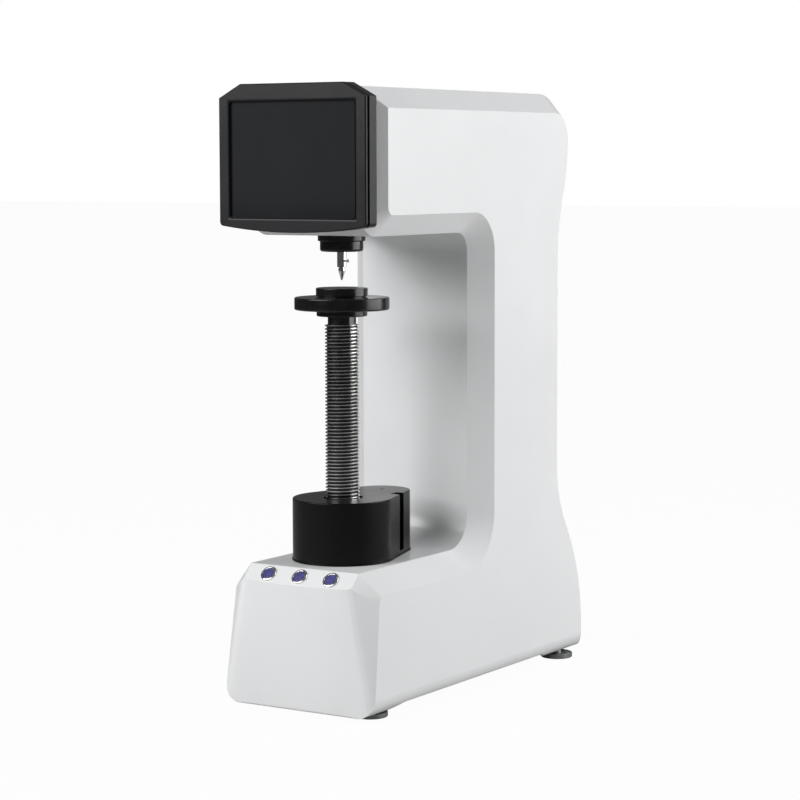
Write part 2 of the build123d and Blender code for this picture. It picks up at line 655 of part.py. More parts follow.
def bottom_plate():
    """Steel plate that closes the base from below, cut out round the feet's bosses."""
    hollow = offset(side_profile(), amount=-WALL - PLATE_GAP, kind=Kind.INTERSECTION)
    inner = HALF_WIDTH - SIDE_WALL - PLATE_GAP
    body = extrude(Plane.YZ * hollow, amount=inner, both=True)
    body &= block((-HALF_WIDTH, HALF_WIDTH), (BASE_FRONT_Y, REAR_LOW_Y), (PLATE_Z, PLATE_Z + PLATE_T))
    for x, y in feet_places():
        corner_x = (x, math.copysign(HALF_WIDTH, x))
        body -= rod(FOOT_BOSS_R + 1, 0, 2 * PLATE_Z, x, y)
        notch_y = (y - FOOT_BOSS_R - 1, y + FOOT_BOSS_R + 1)
        body -= block(tuple(sorted(corner_x)), notch_y, (0, 2 * PLATE_Z))
    for x, y in lug_places():
        body -= rod(M4_R + 0.25, 0, 2 * PLATE_Z, x, y)
    return body


def sheet_cover(z_range):
    """Flat sheet cover on the column's rear face, with its screw holes."""
    low, high = z_range
    body = block((-COVER_HALF, COVER_HALF), (REAR_MID_Y, REAR_MID_Y + COVER_T), (low, high))
    upright = body.edges().filter_by(Axis.Y)
    body = fillet(upright, 4)
    for x, z in rear_screw_places():
        if low < z < high:
            body -= along_y(M4_R + 0.25, REAR_MID_Y - 1, REAR_MID_Y + COVER_T + 1, x, z)
    return body


def rear_cover():
    """Upper rear cover with ventilation slots."""
    body = sheet_cover(COVER_Z)
    middle = sum(COVER_Z) / 2
    slot = extrude(SlotOverall(2 * VENT_HALF, VENT_H), amount=COVER_T + 2)
    for k in range(VENT_COUNT):
        z = middle + (k - (VENT_COUNT - 1) / 2) * VENT_PITCH
        body -= Plane.XZ.offset(-REAR_MID_Y - COVER_T - 1) * Pos(0, z) * slot
    return body


def connector_panel():
    """Lower rear panel with cut-outs for the inlet, the switch and the data port."""
    body = sheet_cover(PANEL_Z)
    depth = (REAR_MID_Y - 1, REAR_MID_Y + COVER_T + 1)
    for x, half_w, half_h in connector_cutouts():
        z_range = (CONNECTOR_Z - half_h, CONNECTOR_Z + half_h)
        body -= block((x - half_w, x + half_w), depth, z_range)
    return body


def connector_cutouts():
    """Centre X, half width and half height of the panel's cut-outs."""
    return [(INLET_X, 14.0, 10.5), (SWITCH_X, 10.5, 14.0), (PORT_X, 10.0, 5.5)]


def cover_screws():
    """Pan-head screws of the rear cover, the connector panel and the bottom plate."""
    size = (M4_R - FIT, M4_LENGTH, M4_HEAD_R, M4_HEAD_H)
    rear = Plane(origin=(0, REAR_MID_Y + COVER_T, 0), x_dir=(-1, 0, 0), z_dir=(0, 1, 0))
    under = Plane(origin=(0, 0, PLATE_Z), x_dir=(1, 0, 0), z_dir=(0, 0, -1))
    backs = screws_along(rear, [(-x, z) for x, z in rear_screw_places()], *size)
    lugs = screws_along(under, [(x, -y) for x, y in lug_places()], *size)
    return Compound(backs.solids() + lugs.solids())


# ---------------------------------------------------------------- lifting screw and anvil
def elevating_screw():
    """Screw with ring-shaped threads, a keyway, a neck, a spigot and a socket for the anvil."""
    root = SCREW_R - THREAD_DEPTH
    flank = (SCREW_PITCH - 2 * THREAD_FLAT) / 2
    points = [(0, SCREW_FOOT_Z), (root, SCREW_FOOT_Z)]
    threads = int((SCREW_TOP_Z - SCREW_FOOT_Z) / SCREW_PITCH)
    first = SCREW_TOP_Z - threads * SCREW_PITCH
    for k in range(threads):
        z = first + k * SCREW_PITCH
        points.append((root, z))
        points.append((SCREW_R, z + flank))
        points.append((SCREW_R, z + flank + THREAD_FLAT))
        points.append((root, z + 2 * flank + THREAD_FLAT))
    points += [(root, SCREW_TOP_Z), (NECK_R, SCREW_TOP_Z), (NECK_R, HUB_Z), (SPIGOT_R, HUB_Z)]
    points += [(SPIGOT_R, DISC_Z[1] - 0.5), (0, DISC_Z[1] - 0.5)]
    body = turned(points)
    body -= rod(STEM_R + FIT, STEM_FOOT_Z - 2, DISC_Z[1])
    half = KEYWAY_W / 2
    body -= block((-half, half), (SCREW_R - KEYWAY_DEPTH, SCREW_R + 1), KEYWAY_Z)
    return body


def anvil_collar():
    """Disc collar with a hub below, seated on the screw's shoulder."""
    disc = rod(DISC_R, *DISC_Z)
    disc = fillet(disc.edges().filter_by(GeomType.CIRCLE), DISC_EDGE_R)
    hub = rod(HUB_R, HUB_Z, DISC_Z[0] + 1)
    hub = chamfer(hub.edges().group_by(Axis.Z)[0], HUB_CHAMFER)
    return disc + hub - rod(SPIGOT_R + FIT, HUB_Z - 1, DISC_Z[1] + 1)


def anvil():
    """Flat anvil with an undercut neck and a stem."""
    points = [
        (0, STEM_FOOT_Z),
        (STEM_R, STEM_FOOT_Z),
        (STEM_R, DISC_Z[1]),
        (ANVIL_NECK_R, DISC_Z[1]),
        (ANVIL_NECK_R, ANVIL_Z[0]),
        (ANVIL_R - 0.6, ANVIL_Z[0]),
        (ANVIL_R, ANVIL_Z[0] + 0.6),
        (ANVIL_R, ANVIL_Z[1] - 0.8),
        (ANVIL_R - 0.8, ANVIL_Z[1]),
        (0, ANVIL_Z[1]),
    ]
    return turned(points)


# ---------------------------------------------------------------- screw drive
def drive_seat_plate():
    """Thin plate between the base top and the screw housing, with the lower bearing's raised seat."""
    plan = offset(teardrop(HOUSING_R, HOUSING_REAR_R, DRIVE_CENTRES), amount=1.0)
    body = Pos(0, 0, BASE_TOP_Z) * extrude(plan, amount=SEAT_T)
    body -= rod(PASSAGE_R, BASE_TOP_Z - 1, BASE_TOP_Z + SEAT_T + 1)
    for x, y in motor_bolt_places():
        body -= rod(MOTOR_SCREW_HEAD_R + 0.5, BASE_TOP_Z - 1, BASE_TOP_Z + SEAT_T + 1, x, y)
    body -= rod(MOTOR_SHAFT_R + 4, BASE_TOP_Z - 1, BASE_TOP_Z + SEAT_T + 1, 0, DRIVE_CENTRES)
    body += tube(CARRIER_R, PASSAGE_R, BASE_TOP_Z + SEAT_T, BEARING_LOW_Z)
    rim = (BEARING_LOW_Z - 1, BEARING_LOW_Z + BEARING_W)
    return body + tube(BEARING_R + CARRIER_RIM, BEARING_R + FIT, *rim)


def slot_x():
    """Outer X of the housing's tapered side at the slot."""
    lean = math.asin((HOUSING_R - HOUSING_REAR_R) / DRIVE_CENTRES)
    return (HOUSING_R - SLOT_Y * math.sin(lean)) / math.cos(lean)


def screw_housing():
    """Teardrop housing over the drive, with the upper bearing's seat and the guide bush's seat."""
    foot = BASE_TOP_Z + SEAT_T
    plan = teardrop(HOUSING_R, HOUSING_REAR_R, DRIVE_CENTRES)
    body = Pos(0, 0, foot) * extrude(plan, amount=HOUSING_TOP_Z - foot)
    top_edges = body.edges().group_by(Axis.Z)[-1]
    body = chamfer(top_edges, 0.8)
    inner = offset(plan, amount=-HOUSING_WALL)
    bay = Pos(0, 0, foot - 1) * extrude(inner, amount=BEARING_TOP_Z - foot + 1)
    outer_x = slot_x()
    half = SLOT_W / 2
    rib_x = outer_x - SLOT_DEPTH - SLOT_RIB
    bay -= block(
        (rib_x, outer_x + 5),
        (SLOT_Y - half - SLOT_RIB, SLOT_Y + half + SLOT_RIB),
        (foot - 2, HOUSING_TOP_Z),
    )
    body -= bay
    body -= rod(BEARING_R + FIT, BEARING_TOP_Z - 1, BUSH_Z[0])
    body -= rod(BUSH_R + FIT, BUSH_Z[0] - 1, BUSH_Z[1])
    body -= rod(HOUSING_BORE_R, BUSH_Z[1] - 1, HOUSING_TOP_Z + 1)
    body -= block(
        (outer_x - SLOT_DEPTH, outer_x + 5),
        (SLOT_Y - half, SLOT_Y + half),
        (foot + SLOT_FOOT, HOUSING_TOP_Z + 1),
    )
    return body - rod(M4_R, HOUSING_TOP_Z - 8, HOUSING_TOP_Z + 1, 0, SET_SCREW_Y)


def housing_set_screw():
    """Set screw sunk in the housing's top."""
    body = rod(M4_R - FIT, HOUSING_TOP_Z - 8, HOUSING_TOP_Z - 0.6, 0, SET_SCREW_Y)
    socket = Pos(0, SET_SCREW_Y, HOUSING_TOP_Z - 3) * extrude(RegularPolygon(1.0, 6), amount=4)
    return body - socket


def nut_bearings():
    """Lower and upper ball bearings, each an outer ring, an inner ring and a shielded ball row."""
    rings = []
    for low in (BEARING_LOW_Z, BEARING_TOP_Z):
        high = low + BEARING_W
        race = tube(BEARING_R, BEARING_BORE_R, low, high)
        groove = tube(BEARING_R - 3.5, BEARING_BORE_R + 3.5, low - 1, low + 1)
        race -= groove
        race -= Pos(0, 0, BEARING_W) * groove
        rings.append(race)
    return Compound(rings)


def lift_nut():
    """Flanged nut that turns in the two bearings; its bore runs on the thread's crests."""
    top = BEARING_TOP_Z + BEARING_W - 0.5
    points = [
        (SCREW_R + FIT, BEARING_LOW_Z + 0.5),
        (BEARING_BORE_R - FIT, BEARING_LOW_Z + 0.5),
        (BEARING_BORE_R - FIT, BEARING_LOW_Z + BEARING_W),
        (NUT_SHOULDER_R, BEARING_LOW_Z + BEARING_W),
        (NUT_SHOULDER_R, PULLEY_Z[0]),
        (BEARING_BORE_R - FIT, PULLEY_Z[0]),
        (BEARING_BORE_R - FIT, top),
        (SCREW_R + FIT, top),
    ]
    return turned(points)


def nut_pulley():
    """Toothed pulley fixed on the nut."""
    return toothed_pulley(NUT_TEETH, *PULLEY_Z, BEARING_BORE_R)


def lift_motor_pulley():
    """Small toothed pulley on the lifting motor's shaft."""
    return Pos(0, DRIVE_CENTRES) * toothed_pulley(MOTOR_TEETH, *PULLEY_Z, MOTOR_SHAFT_R)


def lift_belt():
    """Toothed belt of the screw drive."""
    low = PULLEY_Z[0] + PULLEY_LIP + BELT_GAP
    high = PULLEY_Z[1] - PULLEY_LIP - BELT_GAP
    return belt(NUT_TEETH, MOTOR_TEETH, DRIVE_CENTRES, low, high)


def stepper(top, height, y, pilot):
    """Square motor under a mounting face at height top, with laminated middle and end bells."""
    half = MOTOR_HALF
    bell = extrude(RectangleRounded(2 * half, 2 * half, 5), amount=10)
    core = extrude(RectangleRounded(2 * half - 3, 2 * half - 3, 9), amount=height - 18)
    body = Pos(0, y, top - height) * bell
    body += Pos(0, y, top - height + 9) * core
    body += Pos(0, y, top - 10) * bell
    body += rod(MOTOR_PILOT_R, top - 1, top + pilot, 0, y)
    body += block((-9, 9), (y + half - 1, y + half + 9), (top - height + 2, top - height + 12))
    return body


def lift_motor():
    """Motor of the screw drive, hung under the base top."""
    top = BASE_TOP_Z - WALL
    body = stepper(top, MOTOR_H, DRIVE_CENTRES, MOTOR_PILOT_H)
    for x, y in motor_bolt_places():
        body -= rod(M4_R, top - 8, top + 1, x, y)
    return body - rod(MOTOR_SHAFT_R + FIT, top - 12, top + 10, 0, DRIVE_CENTRES)


def lift_motor_shaft():
    """Shaft of the lifting motor, up through the base top into its pulley."""
    low = BASE_TOP_Z - WALL - 11
    return chamfer(rod(MOTOR_SHAFT_R - FIT, low, PULLEY_Z[1] + 1, 0, DRIVE_CENTRES).edges(), 0.5)


def lift_motor_screws():
    """Four socket screws down through the base top into the motor."""
    plane = Plane(origin=(0, 0, BASE_TOP_Z), x_dir=(1, 0, 0), z_dir=(0, 0, 1))
    size = (M4_R - FIT, WALL + 6, MOTOR_SCREW_HEAD_R, MOTOR_SCREW_HEAD_H)
    return screws_along(plane, motor_bolt_places(), *size)


def guide_bush():
    """Bronze bush round the screw, slotted for the guide key."""
    half = KEYWAY_W / 2
    body = tube(BUSH_R, SCREW_R + FIT, *BUSH_Z)
    return body - block((-half, half), (SCREW_R - 1, BUSH_R + 1), BUSH_Z)


def guide_key():
    """Key in the bush that stands into the screw's keyway."""
    half = KEYWAY_W / 2 - FIT
    return block((-half, half), (SCREW_R - KEY_REACH, BUSH_R - 0.2), BUSH_Z)


# ---------------------------------------------------------------- nose, spindle, indenter
def nose_flange():
    """Sleeve of the spindle with the visible upper ring of the nose."""
    points = [
        (SPINDLE_R + 1.5, NOSE_Z),
        (NOSE_R - 0.5, NOSE_Z),
        (NOSE_R, NOSE_Z + 0.5),
        (NOSE_R, HEAD_UNDER_Z),
        (SLEEVE_R, HEAD_UNDER_Z),
        (SLEEVE_R, SLEEVE_TOP_Z),
        (BUSH_OUT_R + FIT, SLEEVE_TOP_Z),
        (BUSH_OUT_R + FIT, HEAD_UNDER_Z + 4),
        (SPINDLE_R + 1.5, HEAD_UNDER_Z + 4),
    ]
    return turned(points)


def nose_cap():
    """Lower ring of the nose, a cup with a hole for the chuck."""
    body = rod(CAP_R, CAP_Z, NOSE_Z)
    body = fillet(body.edges().group_by(Axis.Z)[0], CAP_EDGE_R)
    body -= rod(CAP_R - 5, CAP_Z + 4, NOSE_Z + 1)
    return body - rod(CAP_HOLE_R, CAP_Z - 1, NOSE_Z)


def spindle_bushes():
    """Two plain bushes in the sleeve."""
    low = HEAD_UNDER_Z + 4
    length = 11
    lower = tube(BUSH_OUT_R, SPINDLE_R + FIT, low, low + length)
    upper = tube(BUSH_OUT_R, SPINDLE_R + FIT, SLEEVE_TOP_Z - length, SLEEVE_TOP_Z)
    return Compound([lower, upper])


def spindle():
    """Test spindle: shaft, spring flange and, at its foot, the chuck with its socket."""
    points = [
        (0, CHUCK_Z),
        (CHUCK_R - 0.4, CHUCK_Z),
        (CHUCK_R, CHUCK_Z + 0.4),
        (CHUCK_R, SPINDLE_Z[0]),
        (SPINDLE_R, SPINDLE_Z[0]),
        (SPINDLE_R, SPRING_TOP_Z),
        (SPINDLE_R + 6, SPRING_TOP_Z),
        (SPINDLE_R + 6, SPRING_TOP_Z + 3),
        (SPINDLE_R, SPRING_TOP_Z + 3),
        (SPINDLE_R, SPINDLE_Z[1]),
        (0, SPINDLE_Z[1]),
    ]
    body = turned(points) - rod(SHANK_R + FIT, CHUCK_Z - 1, SHANK_TOP_Z + 0.5)
    hole = Plane.YZ * Pos(0, THUMB_Z) * extrude(Circle(THUMB_STEM_R + FIT), amount=CHUCK_R + 1)
    return body - hole


def indenter():
    """Indenter body: shank in the chuck, shoulder and cone."""
    points = [
        (0, TIP_Z + DIAMOND_H),
        (TIP_R, TIP_Z + DIAMOND_H),
        (INDENTER_R, INDENTER_SHOULDER_Z),
        (INDENTER_R, CHUCK_Z - 1.2),
        (SHANK_R, CHUCK_Z - 1.2),
        (SHANK_R, SHANK_TOP_Z),
        (0, SHANK_TOP_Z),
    ]
    return turned(points)


def indenter_diamond():
    """Diamond cone at the indenter's tip, with its rounded point."""
    points = [
        (0, TIP_Z),
        (0.2, TIP_Z + 0.05),
        (TIP_R - 0.3, TIP_Z + DIAMOND_H * 0.55),
        (TIP_R - 0.3, TIP_Z + DIAMOND_H),
        (0, TIP_Z + DIAMOND_H),
    ]
    return turned(points)


def indenter_screw():
    """Thumb screw with a ball head that clamps the indenter's shank."""
    low = SHANK_R + 0.1
    stem = Plane.YZ.offset(low) * Pos(0, THUMB_Z) * extrude(Circle(THUMB_STEM_R), amount=THUMB_REACH - low)
    return stem + Pos(THUMB_REACH, 0, THUMB_Z) * Sphere(THUMB_BALL_R)


def return_spring():
    """Helical spring that lifts the spindle, between the sleeve and the spindle's flange."""
    low = SLEEVE_TOP_Z + SPRING_WIRE_R + 0.1
    high = SPRING_TOP_Z - SPRING_WIRE_R - 0.1
    pitch = (high - low) / SPRING_TURNS
    path = Pos(0, 0, low) * Helix(pitch, high - low, SPRING_R)
    start = Plane(origin=path @ 0, z_dir=path % 0)
    return sweep(start * Circle(SPRING_WIRE_R), path=path, is_frenet=True)


# ---------------------------------------------------------------- load drive
def load_cell():
    """Round load cell between the spindle and the crosshead."""
    low = SPINDLE_Z[1]
    points = [
        (0, low),
        (SPINDLE_R + 2, low),
        (SPINDLE_R + 2, low + 3),
        (CELL_R, low + 3),
        (CELL_R, CELL_TOP_Z - 2),
        (SPINDLE_R + 4, CELL_TOP_Z - 2),
        (SPINDLE_R + 4, CELL_TOP_Z),
        (0, CELL_TOP_Z),
    ]
    body = turned(points)
    plug = Plane.XZ.offset(CELL_R - 2) * Pos(0, low + 7.5) * extrude(Circle(3), amount=7)
    return body + plug


def load_crosshead():
    """Crosshead that slides on the guide rods and pushes the load cell."""
    half_x, half_y = CROSSHEAD_HALF
    low = CELL_TOP_Z
    high = low + CROSSHEAD_T
    body = block((-half_x, half_x), (-half_y, half_y), (low, high))
    body = chamfer(body.edges().filter_by(Axis.Z), 6)
    for x in (-ROD_X, ROD_X):
        body += rod(ROD_R + 5, low, high + 4, x)
        body -= rod(ROD_R + FIT, low - 1, high + 5, x)
    return body - rod(NUT_R + FIT, low + 2, high + 1)


def ball_nut():
    """Flanged ball nut let into the crosshead."""
    low = CELL_TOP_Z + 2.5
    flange = CELL_TOP_Z + CROSSHEAD_T
    body = rod(NUT_R, low, flange + 17) + rod(NUT_FLANGE_R, flange, flange + 5)
    return body - rod(LOAD_SCREW_R + FIT, low - 1, flange + 18)


def guide_rods():
    """Four rods that carry the top plate; the front two also guide the crosshead."""
    low = HEAD_UNDER_Z + WALL - ROD_SUNK
    return Compound([rod(ROD_R, low, TOP_PLATE_Z[0], x, y) for x, y in rod_places()])


def load_top_plate():
    """Plate across the rods and posts that carries the load screw and its motor."""
    half = CROSSHEAD_HALF[0]
    body = block((-half, half), TOP_PLATE_Y, TOP_PLATE_Z)
    body = chamfer(body.edges().filter_by(Axis.Z), 5)
    body -= rod(LOAD_SCREW_R + FIT, TOP_PLATE_Z[0] - 1, TOP_PLATE_Z[1] + 1)
    body -= rod(MOTOR_PILOT_R + FIT, TOP_PLATE_Z[0] - 1, TOP_PLATE_Z[1] + 1, 0, LOAD_CENTRES)
    return body


def load_screw():
    """Ball screw: threaded length under a thrust collar, journal and pulley seat above it."""
    root = LOAD_SCREW_R - 0.8
    collar = (TOP_PLATE_Z[0] - 4.2, TOP_PLATE_Z[0] - 0.2)
    points = [(0, LOAD_SCREW_FOOT_Z), (root, LOAD_SCREW_FOOT_Z)]
    count = int((collar[0] - LOAD_SCREW_FOOT_Z) / 5)
    for k in range(count):
        z = LOAD_SCREW_FOOT_Z + 5 * k
        points += [(root, z + 0.6), (LOAD_SCREW_R, z + 1.2), (LOAD_SCREW_R, z + 4.4), (root, z + 5)]
    points += [(root, collar[0]), (LOAD_SCREW_R + 3, collar[0]), (LOAD_SCREW_R + 3, collar[1])]
    points += [(LOAD_SCREW_R, collar[1]), (LOAD_SCREW_R, LOAD_PULLEY_Z[1]), (0, LOAD_PULLEY_Z[1])]
    return turned(points)


def load_screw_pulley():
    """Toothed pulley on the load screw."""
    return toothed_pulley(LOAD_TEETH, *LOAD_PULLEY_Z, LOAD_SCREW_R + FIT)


def load_motor_pulley():
    """Toothed pulley on the load motor's shaft, in one piece with it."""
    wheel = toothed_pulley(LOAD_MOTOR_TEETH, *LOAD_PULLEY_Z, MOTOR_SHAFT_R - 1)
    shaft = rod(MOTOR_SHAFT_R - FIT, TOP_PLATE_Z[0] - 12, LOAD_PULLEY_Z[1])
    return Pos(0, LOAD_CENTRES) * (wheel + shaft)


def load_belt():
    """Toothed belt of the load drive."""
    low = LOAD_PULLEY_Z[0] + PULLEY_LIP + BELT_GAP
    high = LOAD_PULLEY_Z[1] - PULLEY_LIP - BELT_GAP
    return belt(LOAD_TEETH, LOAD_MOTOR_TEETH, LOAD_CENTRES, low, high)


def load_motor():
    """Motor of the load drive, hung under the top plate."""
    top = TOP_PLATE_Z[0]
    body = stepper(top, LOAD_MOTOR_H, LOAD_CENTRES, MOTOR_PILOT_H)
    return body - rod(MOTOR_SHAFT_R + FIT, top - 13, top + 10, 0, LOAD_CENTRES)


def depth_sensor():
    """Body of the depth sensor, fixed under the top plate."""
    low = TOP_PLATE_Z[0] - 24
    body = rod(SENSOR_R, low, TOP_PLATE_Z[0], SENSOR_X)
    return body - rod(PLUNGER_R + FIT, low - 1, TOP_PLATE_Z[0] - 4, SENSOR_X)


def sensor_plunger():
    """Plunger of the depth sensor, resting on the crosshead."""
    low = CELL_TOP_Z + CROSSHEAD_T
    return rod(PLUNGER_R, low, TOP_PLATE_Z[0] - 10, SENSOR_X)


# ---------------------------------------------------------------- display
def display_outline(inset=0.0):
    """Front view of the display: chamfered top corners, bowed foot, small rounds at its foot."""
    side = DISPLAY_HALF
    shoulder_x, shoulder_z = DISPLAY_SHOULDER
    corners = [
        Line((-shoulder_x, DISPLAY_TOP_Z), (shoulder_x, DISPLAY_TOP_Z)),
        Line((shoulder_x, DISPLAY_TOP_Z), (side, shoulder_z)),
        Line((side, shoulder_z), (side, DISPLAY_SIDE_FOOT_Z)),
        ThreePointArc((side, DISPLAY_SIDE_FOOT_Z), (0, DISPLAY_FOOT_Z), (-side, DISPLAY_SIDE_FOOT_Z)),
        Line((-side, DISPLAY_SIDE_FOOT_Z), (-side, shoulder_z)),
        Line((-side, shoulder_z), (-shoulder_x, DISPLAY_TOP_Z)),
    ]
    face = make_face(corners)
    low = face.vertices().sort_by(Axis.Y)[:2]
    face = fillet(low, DISPLAY_CORNER_R)
    if inset:
        face = offset(face, amount=-inset, kind=Kind.INTERSECTION)
    return face


def display_layer(face, front, back):
    """Solid of a display outline between two depths."""
    return Plane.XZ.offset(-back) * extrude(face, amount=back - front)


def screen_block(grow, front, back):
    """Box behind the screen opening, grown sideways by a margin."""
    half = SCREEN_HALF + grow
    return block((-half, half), (front, back), (SCREEN_Z[0] - grow, SCREEN_Z[1] + grow))


def display_bezel():
    """Front frame of the display with a bevelled outer edge and a sloped lip round the screen."""
    back = GROOVE_Y[0]
    body = display_layer(display_outline(), DISPLAY_FRONT_Y, back)
    front_rim = body.faces().sort_by(Axis.Y)[0].edges()
    body = chamfer(front_rim, 1.2)
    body -= screen_block(0, DISPLAY_FRONT_Y - 1, back + 1)
    return body


def display_rear_shell():
    """Rear tray of the display; its narrower front lip makes the groove behind the bezel."""
    lip = display_layer(display_outline(GROOVE_DEPTH), *GROOVE_Y)
    tray = display_layer(display_outline(), GROOVE_Y[1], HEAD_FRONT_Y)
    rear_rim = tray.faces().sort_by(Axis.Y)[-1].edges()
    tray = chamfer(rear_rim, 2)
    wall = GROOVE_DEPTH + SHELL_WALL
    bay = display_layer(display_outline(wall), GROOVE_Y[0] - 1, HEAD_FRONT_Y - SHELL_WALL)
    body = lip + tray - bay
    floor = HEAD_FRONT_Y - SHELL_WALL
    for x, z in display_screw_places():
        body += along_y(4.5, floor - 6, floor + 1, x, z)
        body -= along_y(M4_R, floor - 5, HEAD_FRONT_Y + 1, x, z)
    return body - along_y(CABLE_HOLE_R, floor - 1, HEAD_FRONT_Y + 1, CABLE_X, CABLE_Z)


def display_screws():
    """Screws from inside the head through its front wall into the display's shell."""
    plane = Plane(origin=(0, HEAD_FRONT_Y + WALL, 0), x_dir=(-1, 0, 0), z_dir=(0, 1, 0))
    places = [(-x, z) for x, z in display_screw_places()]
    return screws_along(plane, places, M4_R - FIT, WALL + SHELL_WALL + 4, M4_HEAD_R, M4_HEAD_H)


def touch_glass():
    """Touch glass behind the bezel."""
    front = GROOVE_Y[0]
    return screen_block(GLASS_LAP, front, front + GLASS_T)


def lcd_panel():
    """Screen panel behind the touch glass."""
    front = GROOVE_Y[0] + GLASS_T
    return screen_block(LCD_LAP, front, front + LCD_T)


def display_board():
    """Circuit board behind the screen panel with its chips and connector."""
    front = GROOVE_Y[0] + GLASS_T + LCD_T
    x_range = (DISPLAY_BOARD_IN[0] - SCREEN_HALF, SCREEN_HALF - DISPLAY_BOARD_IN[1])
    z_range = (SCREEN_Z[0] + DISPLAY_BOARD_UP[0], SCREEN_Z[1] - DISPLAY_BOARD_UP[1])
    body = block(x_range, (front, front + DISPLAY_BOARD_T), z_range)
    middle = sum(SCREEN_Z) / 2
    low = front + DISPLAY_BOARD_T - CHIP_SUNK
    for x, rise, w, h in DISPLAY_CHIPS:
        z = middle + rise
        body += block((x - w / 2, x + w / 2), (low, low + CHIP_T), (z - h / 2, z + h / 2))
    return body


# ---------------------------------------------------------------- buttons
def button_rings():
    """Three metal rings with threaded barrels through the slope."""
    bore = BUTTON_CAP_R + BUTTON_CAP_GAP
    flange = extrude(Circle(BUTTON_RING_R), amount=BUTTON_RING_H)
    flange = chamfer(flange.edges().group_by(Axis.Z)[-1], 0.8)
    barrel = Pos(0, 0, -BUTTON_BARREL) * extrude(Circle(BUTTON_BARREL_R), amount=BUTTON_BARREL + 1)
    hole = Pos(0, 0, -BUTTON_BARREL - 1) * extrude(Circle(BUTTON_STEM_R + 0.3), amount=60)
    seat = Pos(0, 0, -7) * extrude(Circle(bore), amount=20)
    one = flange + barrel - hole - seat
    return Compound([plane * one for plane in button_planes()])


def button_cap(index):
    """One push cap: a shallow dished disc on a stem."""
    top = BUTTON_RING_H - BUTTON_CAP_SUNK
    points = [
        (0, top - BUTTON_CAP_T - BUTTON_STEM),
        (BUTTON_STEM_R, top - BUTTON_CAP_T - BUTTON_STEM),
        (BUTTON_STEM_R, top - BUTTON_CAP_T),
        (BUTTON_CAP_R, top - BUTTON_CAP_T),
        (BUTTON_CAP_R, top - 0.3),
        (BUTTON_CAP_R - 0.8, top),
        (0, top - 0.5),
    ]
    return button_planes()[index] * turned(points)


def button_switches():
    """Three switch bodies screwed on the rings' barrels inside the base."""
    low = -BUTTON_WALL - SWITCH_L
    can = Pos(0, 0, low) * extrude(Circle(SWITCH_R), amount=SWITCH_L)
    can = chamfer(can.edges().group_by(Axis.Z)[0], 1)
    can -= Pos(0, 0, -BUTTON_BARREL - 0.1) * extrude(Circle(BUTTON_BARREL_R + FIT), amount=BUTTON_BARREL)
    return Compound([plane * can for plane in button_planes()])


# ---------------------------------------------------------------- rear connectors and electronics
def power_inlet():
    """Appliance inlet in the connector panel, with its three pins."""
    face = REAR_MID_Y + COVER_T
    z = CONNECTOR_Z
    body = block((INLET_X - 18, INLET_X + 18), (face, face + 2), (z - 13, z + 13))
    body += block((INLET_X - 13.5, INLET_X + 13.5), (face - 22, face + 1), (z - 10, z + 10))
    body -= block((INLET_X - 11.5, INLET_X + 11.5), (face - 15, face + 3), (z - 8, z + 8))
    for dx, dz in ((-7, -2.5), (0, 2.5), (7, -2.5)):
        x = INLET_X + dx
        body += block((x - 1, x + 1), (face - 16, face - PIN_RECESS), (z + dz - 2, z + dz + 2))
    return body


def rocker_pin(radius, reach):
    """Pivot pin of the rocker, across X."""
    pivot = Pos(REAR_MID_Y + COVER_T - ROCKER_PIVOT_IN, CONNECTOR_Z)
    return Pos(SWITCH_X, 0, 0) * (Plane.YZ * pivot * extrude(Circle(radius), amount=reach, both=True))


def switch_body():
    """Frame and case of the mains rocker switch."""
    face = REAR_MID_Y + COVER_T
    z = CONNECTOR_Z
    body = block((SWITCH_X - 12, SWITCH_X + 12), (face, face + 2), (z - 16, z + 16))
    body += block((SWITCH_X - 10, SWITCH_X + 10), (face - 18, face + 1), (z - 13.5, z + 13.5))
    body -= block((SWITCH_X - 8, SWITCH_X + 8), (face - 14, face + 3), (z - 12, z + 12))
    return body - rocker_pin(ROCKER_PIN_R + FIT, ROCKER_PIN_REACH + FIT)


def power_rocker():
    """Rocker of the mains switch, pivoted across X, with its lower half pressed in."""
    face = REAR_MID_Y + COVER_T
    profile = Polyline(
        (face - 7, -10.5),
        (face + 0.5, -10.5),
        (face + 2.0, 0),
        (face + 4.5, 10.5),
        (face - 5, 10.5),
        (face - 9, 0),
        close=True,
    )
    solid = extrude(Plane.YZ * make_face(profile), amount=7.7, both=True)
    return Pos(SWITCH_X, 0, CONNECTOR_Z) * solid + rocker_pin(ROCKER_PIN_R, ROCKER_PIN_REACH)


def data_port():
    """Nine-hole data socket in the connector panel."""
    face = REAR_MID_Y + COVER_T
    z = CONNECTOR_Z
    body = block((PORT_X - 15.5, PORT_X + 15.5), (face, face + 1), (z - 6.2, z + 6.2))
    body += block((PORT_X - 9.5, PORT_X + 9.5), (face - 9, face + 0.5), (z - 5, z + 5))
    shell = make_face(Polyline((-8.5, 4), (8.5, 4), (7.6, -4), (-7.6, -4), close=True))
    plane = Plane(origin=(PORT_X, face + 6, z), x_dir=(-1, 0, 0), z_dir=(0, 1, 0))
    body += plane * extrude(shell, amount=-6)
    for k in range(9):
        row = 0 if k < 5 else 1
        x = (k - 2) * PIN_PITCH if row == 0 else (k - 6.5) * PIN_PITCH
        body -= plane * Pos(x, 1.4 - 2.8 * row, -5) * extrude(Circle(0.5), amount=6)
    for side in (-1, 1):
        body += plane * Pos(side * 12.5, 0, -6) * extrude(RegularPolygon(2.6, 6), amount=5)
    return body


